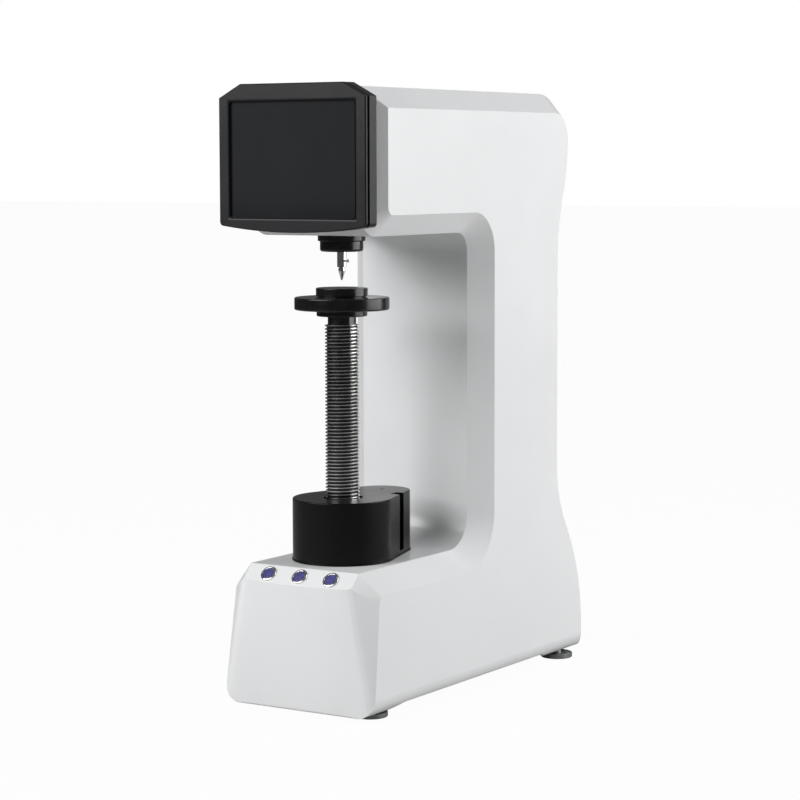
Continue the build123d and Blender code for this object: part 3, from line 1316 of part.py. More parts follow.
def power_supply():
    """Caged power supply on the bottom plate, with its terminal strip."""
    width, depth, height = SUPPLY
    low = PLATE_Z + PLATE_T
    body = block((-width / 2, width / 2), (SUPPLY_Y - depth / 2, SUPPLY_Y + depth / 2), (low, low + height))
    rows = GridLocations(10, 10, 8, 12)
    vents = Pos(0, SUPPLY_Y, low + height - 1) * rows * extrude(Circle(2.5), amount=2)
    body -= vents
    end = SUPPLY_Y + depth / 2
    return body + block((-width / 2 + 6, width / 2 - 6), (end - 1, end + 12), (low, low + 15))


def control_board():
    """Main circuit board on the column's wall, with chips, relays and terminals."""
    x = -(HALF_WIDTH - SIDE_WALL) + STANDOFF
    half = BOARD_HALF
    body = block((x, x + BOARD_T), (BOARD_Y - half, BOARD_Y + half), (BOARD_Z - half, BOARD_Z + half))
    low = x + BOARD_T - CHIP_SUNK
    for y, z, w, h, t in BOARD_PARTS:
        y_range = (BOARD_Y + y - w / 2, BOARD_Y + y + w / 2)
        body += block((low, low + t), y_range, (BOARD_Z + z - h / 2, BOARD_Z + z + h / 2))
    return body


def wiring_loom():
    """Loom from the control board up the column and forward to the display."""
    x = -(HALF_WIDTH - SIDE_WALL) + STANDOFF + BOARD_T + CABLE_R
    start = (x, BOARD_Y - 10, BOARD_Z + BOARD_HALF - 20)
    knee = (x, BOARD_Y - 10, CABLE_Z)
    turn = (x, HEAD_FRONT_Y + 70, CABLE_Z)
    line = (CABLE_X, HEAD_FRONT_Y + 45, CABLE_Z)
    end = (CABLE_X, GROOVE_Y[0] + GLASS_T + LCD_T + DISPLAY_BOARD_T, CABLE_Z)
    path = FilletPolyline(start, knee, turn, line, end, radius=12)
    plane = Plane(origin=path @ 0, z_dir=path % 0)
    return sweep(plane * Circle(CABLE_R), path=path)


NODES = {
    "frame_casting": frame_casting,
    "rear_cover": rear_cover,
    "connector_panel": connector_panel,
    "bottom_plate": bottom_plate,
    "cover_screws": cover_screws,
    "levelling_feet": levelling_feet,
    "drive_seat_plate": drive_seat_plate,
    "screw_housing": screw_housing,
    "housing_set_screw": housing_set_screw,
    "nut_bearings": nut_bearings,
    "guide_bush": guide_bush,
    "guide_key": guide_key,
    "lift_nut": lift_nut,
    "nut_pulley": nut_pulley,
    "lift_belt": lift_belt,
    "lift_motor": lift_motor,
    "lift_motor_shaft": lift_motor_shaft,
    "lift_motor_pulley": lift_motor_pulley,
    "lift_motor_screws": lift_motor_screws,
    "elevating_screw": elevating_screw,
    "anvil_collar": anvil_collar,
    "anvil": anvil,
    "nose_flange": nose_flange,
    "nose_cap": nose_cap,
    "spindle_bushes": spindle_bushes,
    "spindle": spindle,
    "indenter": indenter,
    "indenter_diamond": indenter_diamond,
    "indenter_screw": indenter_screw,
    "return_spring": return_spring,
    "load_cell": load_cell,
    "load_crosshead": load_crosshead,
    "ball_nut": ball_nut,
    "guide_rods": guide_rods,
    "load_top_plate": load_top_plate,
    "load_screw": load_screw,
    "load_screw_pulley": load_screw_pulley,
    "load_motor_pulley": load_motor_pulley,
    "load_belt": load_belt,
    "load_motor": load_motor,
    "depth_sensor": depth_sensor,
    "sensor_plunger": sensor_plunger,
    "display_bezel": display_bezel,
    "display_rear_shell": display_rear_shell,
    "display_screws": display_screws,
    "touch_glass": touch_glass,
    "lcd_panel": lcd_panel,
    "display_board": display_board,
    "button_rings": button_rings,
    "button_cap_left": lambda: button_cap(0),
    "button_cap_middle": lambda: button_cap(1),
    "button_cap_right": lambda: button_cap(2),
    "button_switches": button_switches,
    "power_inlet": power_inlet,
    "switch_body": switch_body,
    "power_rocker": power_rocker,
    "data_port": data_port,
    "power_supply": power_supply,
    "control_board": control_board,
    "wiring_loom": wiring_loom,
}


def main():
    """Build every node and write it to its own STEP file."""
    os.makedirs("parts", exist_ok=True)
    for name, make in NODES.items():
        shape = Pos(0, AXIS_SHIFT, AXIS_LIFT) * make()
        export_step(shape, f"parts/{name}.step")


main()
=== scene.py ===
"""Looks of the bench hardness tester: refined shells, turned parts, finishes, lights and camera."""

import json
import logging
import math
from collections.abc import Callable, Iterator
from contextlib import contextmanager
from dataclasses import dataclass
from enum import Enum

import bpy
from mathutils import Matrix, Vector

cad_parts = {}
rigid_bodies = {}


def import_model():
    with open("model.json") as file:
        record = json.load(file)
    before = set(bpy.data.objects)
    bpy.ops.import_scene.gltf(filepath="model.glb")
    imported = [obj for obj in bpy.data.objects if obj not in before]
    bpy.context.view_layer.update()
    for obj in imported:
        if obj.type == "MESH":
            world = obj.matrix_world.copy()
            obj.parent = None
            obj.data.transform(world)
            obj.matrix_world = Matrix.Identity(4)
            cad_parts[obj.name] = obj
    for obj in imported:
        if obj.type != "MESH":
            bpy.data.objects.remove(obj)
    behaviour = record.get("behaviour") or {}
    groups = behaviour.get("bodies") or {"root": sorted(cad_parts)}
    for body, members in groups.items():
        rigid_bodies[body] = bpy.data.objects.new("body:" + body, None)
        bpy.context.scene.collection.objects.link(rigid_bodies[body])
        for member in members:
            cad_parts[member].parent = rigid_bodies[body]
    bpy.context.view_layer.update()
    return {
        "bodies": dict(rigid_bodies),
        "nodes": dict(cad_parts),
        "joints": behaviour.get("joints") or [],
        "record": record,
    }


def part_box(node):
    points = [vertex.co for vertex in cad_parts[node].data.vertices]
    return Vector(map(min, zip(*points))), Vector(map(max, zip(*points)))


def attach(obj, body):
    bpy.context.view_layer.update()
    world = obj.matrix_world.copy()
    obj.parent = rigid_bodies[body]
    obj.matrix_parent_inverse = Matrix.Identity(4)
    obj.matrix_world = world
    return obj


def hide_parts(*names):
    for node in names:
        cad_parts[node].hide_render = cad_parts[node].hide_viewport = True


LOG = logging.getLogger("hardness_tester")
MM = 0.001
AXIS_Y = -161.5 * MM  # the elevating screw and the spindle share this axis, at X = 0
AXIS_POINT = Vector((0.0, AXIS_Y, 0.0))
MERGE = 0.002 * MM

Colour = tuple[float, float, float]
Point = tuple[float, float, float]
Outline = list[tuple[float, float]]
Corner = tuple[float, float, float]
Piece = bpy.types.Object
BEVEL_TURN = 45.0  # degrees of the casting's bevels and of the slope that carries the buttons
SHARP = 30.0  # degrees from which a fold between two faces stays a sharp edge


# ---------------------------------------------------------------- modelling by hand
def focus(piece: Piece) -> None:
    """Make one piece the only selected and the active one."""
    bpy.ops.object.select_all(action="DESELECT")
    piece.select_set(True)
    bpy.context.view_layer.objects.active = piece


@contextmanager
def editing(piece: Piece) -> Iterator[None]:
    """Edit mode on one piece, with nothing selected inside it.

    Args:
        piece: the mesh object to edit.
    """
    focus(piece)
    bpy.ops.object.mode_set(mode="EDIT")
    bpy.ops.mesh.select_all(action="DESELECT")
    yield
    bpy.ops.object.mode_set(mode="OBJECT")


def settle(piece: Piece) -> Piece:
    """Put a piece's place and turn into its mesh.

    Args:
        piece: the object to settle.

    Returns:
        The same piece.
    """
    focus(piece)
    bpy.ops.object.transform_apply(location=True, rotation=True, scale=True)
    return piece


def apply_modifier(piece: Piece, kind: str, **settings: object) -> None:
    """Add a modifier, set it and apply it.

    Args:
        piece: the object that gets it.
        kind: Blender's name of the modifier's type.
        settings: the modifier's own values.
    """
    focus(piece)
    modifier = piece.modifiers.new(kind.lower(), kind)
    for key, value in settings.items():
        setattr(modifier, key, value)
    bpy.ops.object.modifier_apply(modifier=modifier.name)


def smooth(piece: Piece, angle: float = 35.0) -> None:
    """Shade a piece smooth below an angle, with normals that follow its larger faces.

    Args:
        piece: the object.
        angle: the least fold, in degrees, that stays sharp.
    """
    focus(piece)
    bpy.ops.object.shade_smooth_by_angle(angle=math.radians(angle))
    apply_modifier(piece, "WEIGHTED_NORMAL", keep_sharp=True, weight=80)


def copy_of(frame: dict, node: str, name: str) -> Piece:
    """Copy a CAD node's mesh and merge it into one skin.

    Args:
        node: the CAD node.
        name: the new piece's name.

    Returns:
        The new piece.
    """
    piece = bpy.data.objects.new(name, frame["nodes"][node].data.copy())
    bpy.context.scene.collection.objects.link(piece)
    focus(piece)
    bpy.ops.mesh.customdata_custom_splitnormals_clear()
    with editing(piece):
        bpy.ops.mesh.select_all(action="SELECT")
        bpy.ops.mesh.remove_doubles(threshold=MERGE)
        bpy.ops.mesh.dissolve_limited(angle_limit=math.radians(0.2))
    return piece


def round_edges(
    piece: Piece,
    width: float,
    sharpness: float = 25.0,
    keep: Callable[[Vector, Vector], bool] = lambda start, end: True,
    rings: int = 3,
) -> None:
    """Round a piece's sharp edges.

    Args:
        piece: the object.
        width: the rounding's width.
        sharpness: the least angle, in degrees, that counts as an edge.
        keep: a test that the two ends of an edge have to pass.
        rings: how many faces go round the rounding.
    """
    with editing(piece):
        bpy.ops.mesh.select_mode(type="EDGE")
        bpy.ops.mesh.edges_select_sharp(sharpness=math.radians(sharpness))
        bpy.ops.object.mode_set(mode="OBJECT")
        points = piece.data.vertices
        for edge in piece.data.edges:
            if edge.select and not keep(*(points[i].co for i in edge.vertices)):
                edge.select = False
        bpy.ops.object.mode_set(mode="EDIT")
        bpy.ops.mesh.bevel(offset=width, segments=rings, affect="EDGES", clamp_overlap=False)


def outline(corners: list[Corner], closed: bool = False, steps: int = 5) -> Outline:
    """Outline in metres with its corners rounded.

    Args:
        corners: (radius, height, rounding) in millimetres, in order.
        closed: whether the last corner joins the first.
        steps: runs in each rounding.

    Returns:
        The outline's points.
    """
    points: Outline = []
    for index, (x, z, rounding) in enumerate(corners):
        here = Vector((x, z))
        at_end = index in (0, len(corners) - 1) and not closed
        if not rounding or at_end:
            points.append((x * MM, z * MM))
            continue
        back = (Vector(corners[index - 1][:2]) - here).normalized()
        ahead = (Vector(corners[(index + 1) % len(corners)][:2]) - here).normalized()
        half = back.angle(ahead) / 2
        middle = here + (back + ahead).normalized() * (rounding / math.sin(half))
        start = here + back * (rounding / math.tan(half)) - middle
        sweep = start.angle_signed(here + ahead * (rounding / math.tan(half)) - middle)
        for step in range(steps + 1):
            spoke = start.copy()
            spoke.rotate(Matrix.Rotation(-sweep * step / steps, 2))
            points.append(((middle.x + spoke.x) * MM, (middle.y + spoke.y) * MM))
    return points


def chain(name: str, points: Outline, centre: Vector, closed: bool = False) -> Piece:
    """Lay a chain of edges in the plane of X and Z.

    Args:
        name: the new piece's name.
        points: (X, Z) from the centre, in order.
        centre: where the piece's origin goes.
        closed: whether the last point joins the first.

    Returns:
        The new piece.
    """
    bpy.ops.object.select_all(action="DESELECT")
    bpy.ops.mesh.primitive_circle_add(vertices=len(points), fill_type="NOTHING", location=centre)
    piece = bpy.context.active_object
    piece.name = name
    for vertex, (x, z) in zip(piece.data.vertices, points):
        vertex.co = (x, 0.0, z)
    if closed:
        return piece
    ends = {0, len(points) - 1}
    with editing(piece):
        bpy.ops.mesh.select_mode(type="EDGE")
        bpy.ops.object.mode_set(mode="OBJECT")
        for edge in piece.data.edges:
            edge.select = set(edge.vertices) == ends
        bpy.ops.object.mode_set(mode="EDIT")
        bpy.ops.mesh.delete(type="EDGE_FACE")
    return piece


def turned(name: str, corners: list[Corner], centre: Vector, closed: bool = False, steps: int = 128) -> Piece:
    """Turn a piece on the lathe from its outline.

    Args:
        name: the new piece's name.
        corners: (radius, height, rounding) in millimetres, counted from the centre.
        centre: a point on the axis.
        closed: whether the outline is a ring that stays off the axis.
        steps: faces round the piece.

    Returns:
        The new piece.
    """
    piece = chain(name, outline(corners, closed), centre, closed)
    with editing(piece):
        bpy.ops.mesh.select_all(action="SELECT")
        bpy.ops.mesh.spin(steps=steps, angle=math.tau, center=centre, axis=(0, 0, 1), use_auto_merge=True)
        bpy.ops.mesh.select_all(action="SELECT")
        bpy.ops.mesh.remove_doubles(threshold=MERGE)
        bpy.ops.mesh.normals_make_consistent(inside=False)
    settle(piece)
    smooth(piece)
    return piece


def slab(name: str, low: Vector, high: Vector) -> Piece:
    """Block between two corners, used to cut slots and to start flat pieces.

    Args:
        name: the new piece's name.
        low: its lowest corner.
        high: its highest corner.

    Returns:
        The new piece.
    """
    bpy.ops.object.select_all(action="DESELECT")
    bpy.ops.mesh.primitive_cube_add(size=1.0, location=(low + high) / 2)
    piece = bpy.context.active_object
    piece.name = name
    piece.scale = high - low
    return settle(piece)


def combine(piece: Piece, tool: Piece, operation: str = "DIFFERENCE") -> None:
    """Cut a piece with another, or add the other to it.

    Args:
        piece: what stays.
        tool: what is used up.
        operation: Blender's name of the set operation.
    """
    apply_modifier(piece, "BOOLEAN", object=tool, operation=operation, solver="EXACT")
    bpy.data.objects.remove(tool)


def join(name: str, pieces: list[Piece]) -> Piece:
    """Join pieces into one.

    Args:
        name: the joined piece's name.
        pieces: what is joined.

    Returns:
        The joined piece.
    """
    focus(pieces[0])
    for piece in pieces:
        piece.select_set(True)
    bpy.ops.object.join()
    pieces[0].name = name
    return pieces[0]


def placed_copy(piece: Piece, name: str, place: Matrix) -> Piece:
    """Copy of a piece with its own mesh, put in place.

    Args:
        piece: what is copied, modelled about the origin.
        name: the copy's name.
        place: where it goes.

    Returns:
        The copy.
    """
    twin = bpy.data.objects.new(name, piece.data.copy())
    bpy.context.scene.collection.objects.link(twin)
    twin.matrix_world = place
    return settle(twin)


# ---------------------------------------------------------------- shader maths
class Signal:
    """One output socket, with arithmetic that adds Math nodes."""

    def __init__(self, graph: "Graph", socket: bpy.types.NodeSocket) -> None:
        """Wrap a socket of a graph."""
        self.graph = graph
        self.socket = socket

    def _math(self, operation: str, first: object, second: object = 0.0) -> "Signal":
        """Add one Math node and return its result."""
        settings = {"operation": operation}
        return self.graph.value("ShaderNodeMath", settings, {0: first, 1: second})

    def __add__(self, other: object) -> "Signal":
        """Sum."""
        return self._math("ADD", self, other)

    __radd__ = __add__

    def __sub__(self, other: object) -> "Signal":
        """Difference."""
        return self._math("SUBTRACT", self, other)

    def __rsub__(self, other: object) -> "Signal":
        """Difference from a number."""
        return self._math("SUBTRACT", other, self)

    def __mul__(self, other: object) -> "Signal":
        """Product."""
        return self._math("MULTIPLY", self, other)

    __rmul__ = __mul__

    def __pow__(self, other: object) -> "Signal":
        """Power."""
        return self._math("POWER", self, other)

    def sine(self) -> "Signal":
        """Sine of the value."""
        return self._math("SINE", self)

    def clamp(self) -> "Signal":
        """Value kept between 0 and 1."""
        return self.graph.value("ShaderNodeClamp", {}, {"Value": self})


class Graph:
    """A node tree and the short calls that fill it."""

    def __init__(self, tree: bpy.types.NodeTree) -> None:
        """Start from an empty tree."""
        self.tree = tree
        tree.nodes.clear()

    def node(self, kind: str, settings: dict | None = None, inputs: dict | None = None) -> bpy.types.Node:
        """Add one node.

        Args:
            kind: Blender's name of the node's type.
            settings: its own values, set first; stops is a colour ramp's list of (place, grey).
            inputs: values or signals, by socket name or number.

        Returns:
            The node.
        """
        node = self.tree.nodes.new(kind)
        for key, value in (settings or {}).items():
            if key == "stops":
                self._set_stops(node.color_ramp, value)
            else:
                setattr(node, key, value)
        for key, value in (inputs or {}).items():
            if isinstance(value, Signal):
                self.tree.links.new(value.socket, node.inputs[key])
            else:
                node.inputs[key].default_value = value
        return node

    @staticmethod
    def _set_stops(ramp: bpy.types.ColorRamp, stops: Outline) -> None:
        """Give a ramp its grey stops.

        Args:
            ramp: the ramp.
            stops: (place, grey), in order.
        """
        while len(ramp.elements) < len(stops):
            ramp.elements.new(1.0)
        for element, (place, grey) in zip(ramp.elements, stops):
            element.position = place
            element.color = (grey, grey, grey, 1.0)

    def value(self, kind: str, settings: dict | None = None, inputs: dict | None = None) -> Signal:
        """Add one node and return its first output."""
        return Signal(self, self.node(kind, settings, inputs).outputs[0])

    def place(self, stretch: Colour = (1.0, 1.0, 1.0), centre: Colour = (0.0, 0.0, 0.0)) -> Signal:
        """Object coordinates, moved to a centre and stretched.

        Args:
            stretch: factor along each axis.
            centre: the point that becomes the origin.

        Returns:
            The coordinates.
        """
        coordinates = Signal(self, self.node("ShaderNodeTexCoord").outputs["Object"])
        shift = tuple(-c * s for c, s in zip(centre, stretch))
        return self.value(
            "ShaderNodeMapping", {}, {"Vector": coordinates, "Location": shift, "Scale": stretch}
        )

    def noise(self, size: float, detail: float = 3.0, stretch: Colour = (1.0, 1.0, 1.0)) -> Signal:
        """Noise from 0 to 1 whose lumps are about the given size."""
        inputs = {"Vector": self.place(stretch), "Scale": 1.0 / size, "Detail": detail}
        return self.value("ShaderNodeTexNoise", {}, inputs)

    def cells(self, size: float, feature: str = "F1") -> Signal:
        """Distance to the middle of cells of the given size."""
        inputs = {"Vector": self.place(), "Scale": 1.0 / size}
        return self.value("ShaderNodeTexVoronoi", {"feature": feature}, inputs)

    def steps(self, value: Signal, stops: Outline) -> Signal:
        """Value run through a ramp of greys."""
        return self.value("ShaderNodeValToRGB", {"stops": stops}, {"Fac": value})

    def blend(self, factor: Signal, first: "Colour | Signal", second: "Colour | Signal") -> Signal:
        """Mix of two colours.

        Args:
            factor: 0 for the first, 1 for the second.
            first: a colour, or a signal that carries one.
            second: the other.

        Returns:
            The mixed colour.
        """
        ends = (end if isinstance(end, Signal) else (*end, 1.0) for end in (first, second))
        inputs = {0: factor, **dict(zip((6, 7), ends))}
        node = self.node("ShaderNodeMix", {"data_type": "RGBA"}, inputs)
        return Signal(self, node.outputs[2])

    def bump(self, height: Signal, depth: float) -> Signal:
        """Normal bumped by a height from 0 to 1, whose full depth is given."""
        return self.value("ShaderNodeBump", {}, {"Height": height, "Strength": 1.0, "Distance": depth})

    def axis_distance(self) -> tuple[Signal, Signal]:
        """Distance from the spindle's axis, and height.

        Returns:
            Both, in metres.
        """
        node = self.node("ShaderNodeSeparateXYZ", {}, {0: self.place(centre=(0.0, AXIS_Y, 0.0))})
        x, y, z = (Signal(self, output) for output in node.outputs)
        return (x * x + y * y) ** 0.5, z

    def surface(self, inputs: dict) -> None:
        """Finish the tree with the Principled shader and the output."""
        shader = self.value("ShaderNodeBsdfPrincipled", {}, inputs)
        self.node("ShaderNodeOutputMaterial", {}, {"Surface": shader})


# ---------------------------------------------------------------- finishes
def shade(colour: Colour, factor: float) -> Colour:
    """Colour made lighter or darker by a factor."""
    return tuple(min(c * factor, 1.0) for c in colour)


@dataclass(frozen=True)
class Paint:
    """Sprayed paint: fine orange peel, faint drift of colour and gloss."""

    colour: Colour
    roughness: float
    coat: float = 0.0
    peel: float = 1.6 * MM
    peel_depth: float = 0.006 * MM
    drift: float = 0.03
    drift_size: float = 70 * MM
    gloss_drift: float = 0.12
    coat_roughness: float = 0.08
    glossy: float = 0.5

    def dress(self, graph: Graph) -> None:
        """Fill the material's tree.

        Args:
            graph: the tree's graph.
        """
        cloud = graph.noise(self.drift_size, 4.0)
        low, high = shade(self.colour, 1 - self.drift), shade(self.colour, 1 + self.drift)
        skin = graph.noise(self.peel, 2.0)
        graph.surface(
            {
                "Base Color": graph.blend(cloud, low, high),
                "Roughness": self.roughness + (cloud - 0.5) * self.gloss_drift,
                "Specular IOR Level": self.glossy,
                "Coat Weight": self.coat,
                "Coat Roughness": self.coat_roughness,
                "Normal": graph.bump(skin, self.peel_depth),
            }
        )


@dataclass(frozen=True)
class MouldedPlastic:
    """Moulded plastic with a fine spark-eroded grain and slightly polished spots."""

    colour: Colour
    roughness: float
    grain: float = 0.45 * MM
    grain_depth: float = 0.012 * MM
    wear_size: float = 35 * MM
    wear_gloss: float = 0.16
    glossy: float = 0.5

    def dress(self, graph: Graph) -> None:
        """Fill the material's tree.

        Args:
            graph: the tree's graph.
        """
        grain = graph.cells(self.grain)
        wear = graph.noise(self.wear_size, 5.0)
        low, high = shade(self.colour, 0.9), shade(self.colour, 1.12)
        graph.surface(
            {
                "Base Color": graph.blend(wear, low, high),
                "Roughness": self.roughness + (wear - 0.5) * self.wear_gloss,
                "Specular IOR Level": self.glossy,
                "Normal": graph.bump(grain, self.grain_depth),
            }
        )


@dataclass(frozen=True)
class TurnedMetal:
    """Metal or plating turned about the spindle's axis, with fine tool lines, and on a thread painted shade
    in its roots.
    """

    colour: Colour
    roughness: float
    metallic: float = 1.0
    pitch: float = 0.35 * MM
    line_depth: float = 0.004 * MM
    line_waver: float = 9.0
    glossy: float = 0.5
    groove: float = 0.0  # radius out to which a thread's roots get painted shade; 0 where there is no thread
    groove_rise: float = 1.5 * MM  # from there out to unshaded metal, over which the painted shade fades
    groove_shade: float = 0.1
    thread_top: float = 0.0  # no painted shade above this height

    def dress(self, graph: Graph) -> None:
        """Fill the material's tree.

        Args:
            graph: the tree's graph.
        """
        radius, height = graph.axis_distance()
        waver = graph.noise(6 * MM, 2.0)
        lines = ((radius + height) * (math.tau / self.pitch) + waver * self.line_waver).sine()
        cloud = graph.noise(14 * MM, 5.0, (1.0, 1.0, 2.5))
        colour = graph.blend(cloud, shade(self.colour, 0.86), shade(self.colour, 1.1))
        # painted shade: the thread's roots darkened towards the axis, in place of the shade inside the thread
        if self.groove:
            above = ((height - self.thread_top) * (1 / MM)).clamp()
            unshaded = ((radius - self.groove) * (1 / self.groove_rise) + above).clamp()
            colour = graph.blend(unshaded, shade(self.colour, self.groove_shade), colour)
        graph.surface(
            {
                "Base Color": colour,
                "Metallic": self.metallic,
                "Roughness": self.roughness + (cloud - 0.5) * 0.2 + lines * 0.02,
                "Specular IOR Level": self.glossy,
                "Normal": graph.bump(lines * 0.5 + 0.5, self.line_depth),
            }
        )


@dataclass(frozen=True)
class DrawnMetal:
    """Rolled, ground or cast metal with lines along one axis and dull patches."""

    colour: Colour
    roughness: float
    grain: Colour = (1.0, 1.0, 12.0)
    line_depth: float = 0.005 * MM
    patch_size: float = 22 * MM
    metallic: float = 1.0

    def dress(self, graph: Graph) -> None:
        """Fill the material's tree.

        Args:
            graph: the tree's graph.
        """
        lines = graph.noise(2.5 * MM, 4.0, self.grain)
        patch = graph.noise(self.patch_size, 4.0)
        low, high = shade(self.colour, 0.84), shade(self.colour, 1.12)
        graph.surface(
            {
                "Base Color": graph.blend(patch, low, high),
                "Metallic": self.metallic,
                "Roughness": self.roughness + (patch - 0.5) * 0.18 + (lines - 0.5) * 0.1,
                "Normal": graph.bump(lines, self.line_depth),
            }
        )


@dataclass(frozen=True)
class DarkGlass:
    """Dark cover glass over an unlit screen, with the faintest smears."""

    colour: Colour
    roughness: float = 0.05

    def dress(self, graph: Graph) -> None:
        """Fill the material's tree.

        Args:
            graph: the tree's graph.
        """
        smear = graph.steps(graph.noise(40 * MM, 6.0, (1.0, 1.0, 0.5)), [(0.45, 0.0), (0.75, 1.0)])
        graph.surface(
            {
                "Base Color": graph.blend(smear, self.colour, shade(self.colour, 1.08)),
                "Roughness": self.roughness + smear * 0.06,
                "Specular IOR Level": 0.4,
                "Coat Weight": 0.3,
                "Coat Roughness": 0.03,
            }
        )


@dataclass(frozen=True)
class TintedPlastic:
    """Clear tinted plastic: base colour painted lighter and darker in small random lumps, a painted glow and
    shade.
    """

    colour: Colour
    roughness: float = 0.12

    def dress(self, graph: Graph) -> None:
        """Fill the material's tree.

        Args:
            graph: the tree's graph.
        """
        # painted glow and shade: random lumps of lighter and darker tint
        depth = graph.noise(3 * MM, 3.0)
        low, high = shade(self.colour, 0.3), shade(self.colour, 2.0)
        graph.surface(
            {
                "Base Color": graph.blend(depth, low, high),
                "Roughness": self.roughness + (depth - 0.5) * 0.1,
                "Coat Weight": 1.0,
                "Coat Roughness": 0.04,
                "Normal": graph.bump(depth, 0.05 * MM),
            }
        )


@dataclass(frozen=True)
class Laminate:
    """Circuit board laminate with copper tracks under its lacquer."""

    colour: Colour
    track: Colour

    def dress(self, graph: Graph) -> None:
        """Fill the material's tree.

        Args:
            graph: the tree's graph.
        """
        rows = graph.cells(7 * MM, "DISTANCE_TO_EDGE")
        tracks = graph.steps(rows, [(0.06, 1.0), (0.09, 0.0)])
        graph.surface(
            {
                "Base Color": graph.blend(tracks, self.colour, self.track),
                "Roughness": 0.35 + graph.noise(5 * MM) * 0.1,
                "Coat Weight": 0.5,
                "Normal": graph.bump(tracks, 0.03 * MM),
            }
        )


class Slot(Enum):
    """Material slots of the part's record, each with its finish."""

    CASTING_PAINT = Paint((0.80, 0.805, 0.812), 0.34, coat=0.25)
    COVER_PAINT = Paint((0.77, 0.775, 0.785), 0.42, peel=0.9 * MM, peel_depth=0.012 * MM)
    ZINC_PLATE = DrawnMetal((0.60, 0.61, 0.62), 0.36, (12.0, 1.0, 1.0))
    FOOT_STEEL = DrawnMetal((0.30, 0.305, 0.31), 0.42)
    BLACK_PAINT = Paint(
        (0.005, 0.005, 0.0055), 0.24, peel=0.9 * MM, peel_depth=0.004 * MM, drift=0.15, glossy=0.13
    )
    BLACK_GLOSS = TurnedMetal(
        (0.005, 0.005, 0.0055), 0.22, metallic=0.0, line_depth=0.001 * MM, glossy=0.4
    )
    SCREW_STEEL = TurnedMetal(
        (0.66, 0.66, 0.65),
        0.2,
        pitch=0.5 * MM,
        line_depth=0.0001 * MM,
        # painted shade in the thread's roots, out to this radius
        groove=18.0 * MM,
        thread_top=443.7 * MM,
    )
    BEARING_STEEL = DrawnMetal((0.62, 0.63, 0.64), 0.24)
    BRONZE = TurnedMetal((0.62, 0.38, 0.16), 0.34)
    ALLOY = DrawnMetal((0.70, 0.71, 0.72), 0.38, (12.0, 1.0, 1.0))
    BELT_RUBBER = MouldedPlastic((0.020, 0.020, 0.020), 0.75)
    MOTOR_BLACK = Paint((0.022, 0.022, 0.023), 0.55, drift=0.2)
    FASTENER_STEEL = DrawnMetal((0.58, 0.585, 0.58), 0.30)
    SPRING_STEEL = DrawnMetal((0.42, 0.42, 0.43), 0.32)
    INDENTER_STEEL = TurnedMetal((0.68, 0.68, 0.67), 0.16, pitch=0.2 * MM)
    DIAMOND = DrawnMetal((0.01, 0.01, 0.011), 0.08, metallic=0.0)
    BEZEL_PLASTIC = MouldedPlastic((0.014, 0.014, 0.0155), 0.36, glossy=0.2)
    SCREEN_GLASS = DarkGlass((0.016, 0.0175, 0.0195))
    PANEL_DARK = DarkGlass((0.02, 0.02, 0.022), 0.2)
    BOARD_GREEN = Laminate((0.02, 0.16, 0.06), (0.06, 0.30, 0.12))
    RING_CHROME = DrawnMetal((0.76, 0.76, 0.77), 0.08, line_depth=0.001 * MM)
    BUTTON_BLUE = TintedPlastic((0.060, 0.058, 0.20))
    BLACK_PLASTIC = MouldedPlastic((0.020, 0.020, 0.021), 0.45)
    LOOM_BLACK = MouldedPlastic((0.018, 0.018, 0.018), 0.6, grain=1.2 * MM)

    @property
    def key(self) -> str:
        """The slot's name in the record."""
        return self.name.lower()

    def material(self) -> bpy.types.Material:
        """The slot's material, made when it is first asked for.

        Returns:
            The material.
        """
        name = f"{self.key}_finish"
        known = bpy.data.materials.get(name)
        if known:
            return known
        made = bpy.data.materials.new(name)
        made.use_nodes = True
        self.value.dress(Graph(made.node_tree))
        return made


# ---------------------------------------------------------------- sub-assemblies
@dataclass
class SubAssembly:
    """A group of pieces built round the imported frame."""

    frame: dict

    def keep(self, piece: Piece, slot: Slot, body: str, *nodes: str) -> Piece:
        """Dress a piece, make it ride on a body and let it stand for CAD nodes.

        Args:
            piece: the finished mesh.
            slot: its finish.
            body: the body that carries it.
            nodes: the CAD nodes it replaces.

        Returns:
            The piece.
        """
        piece.data.materials.clear()
        piece.data.materials.append(slot.material())
        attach(piece, body)
        if nodes:
            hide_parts(*nodes)
        LOG.info("%s on %s: %d faces", piece.name, body, len(piece.data.polygons))
        return piece


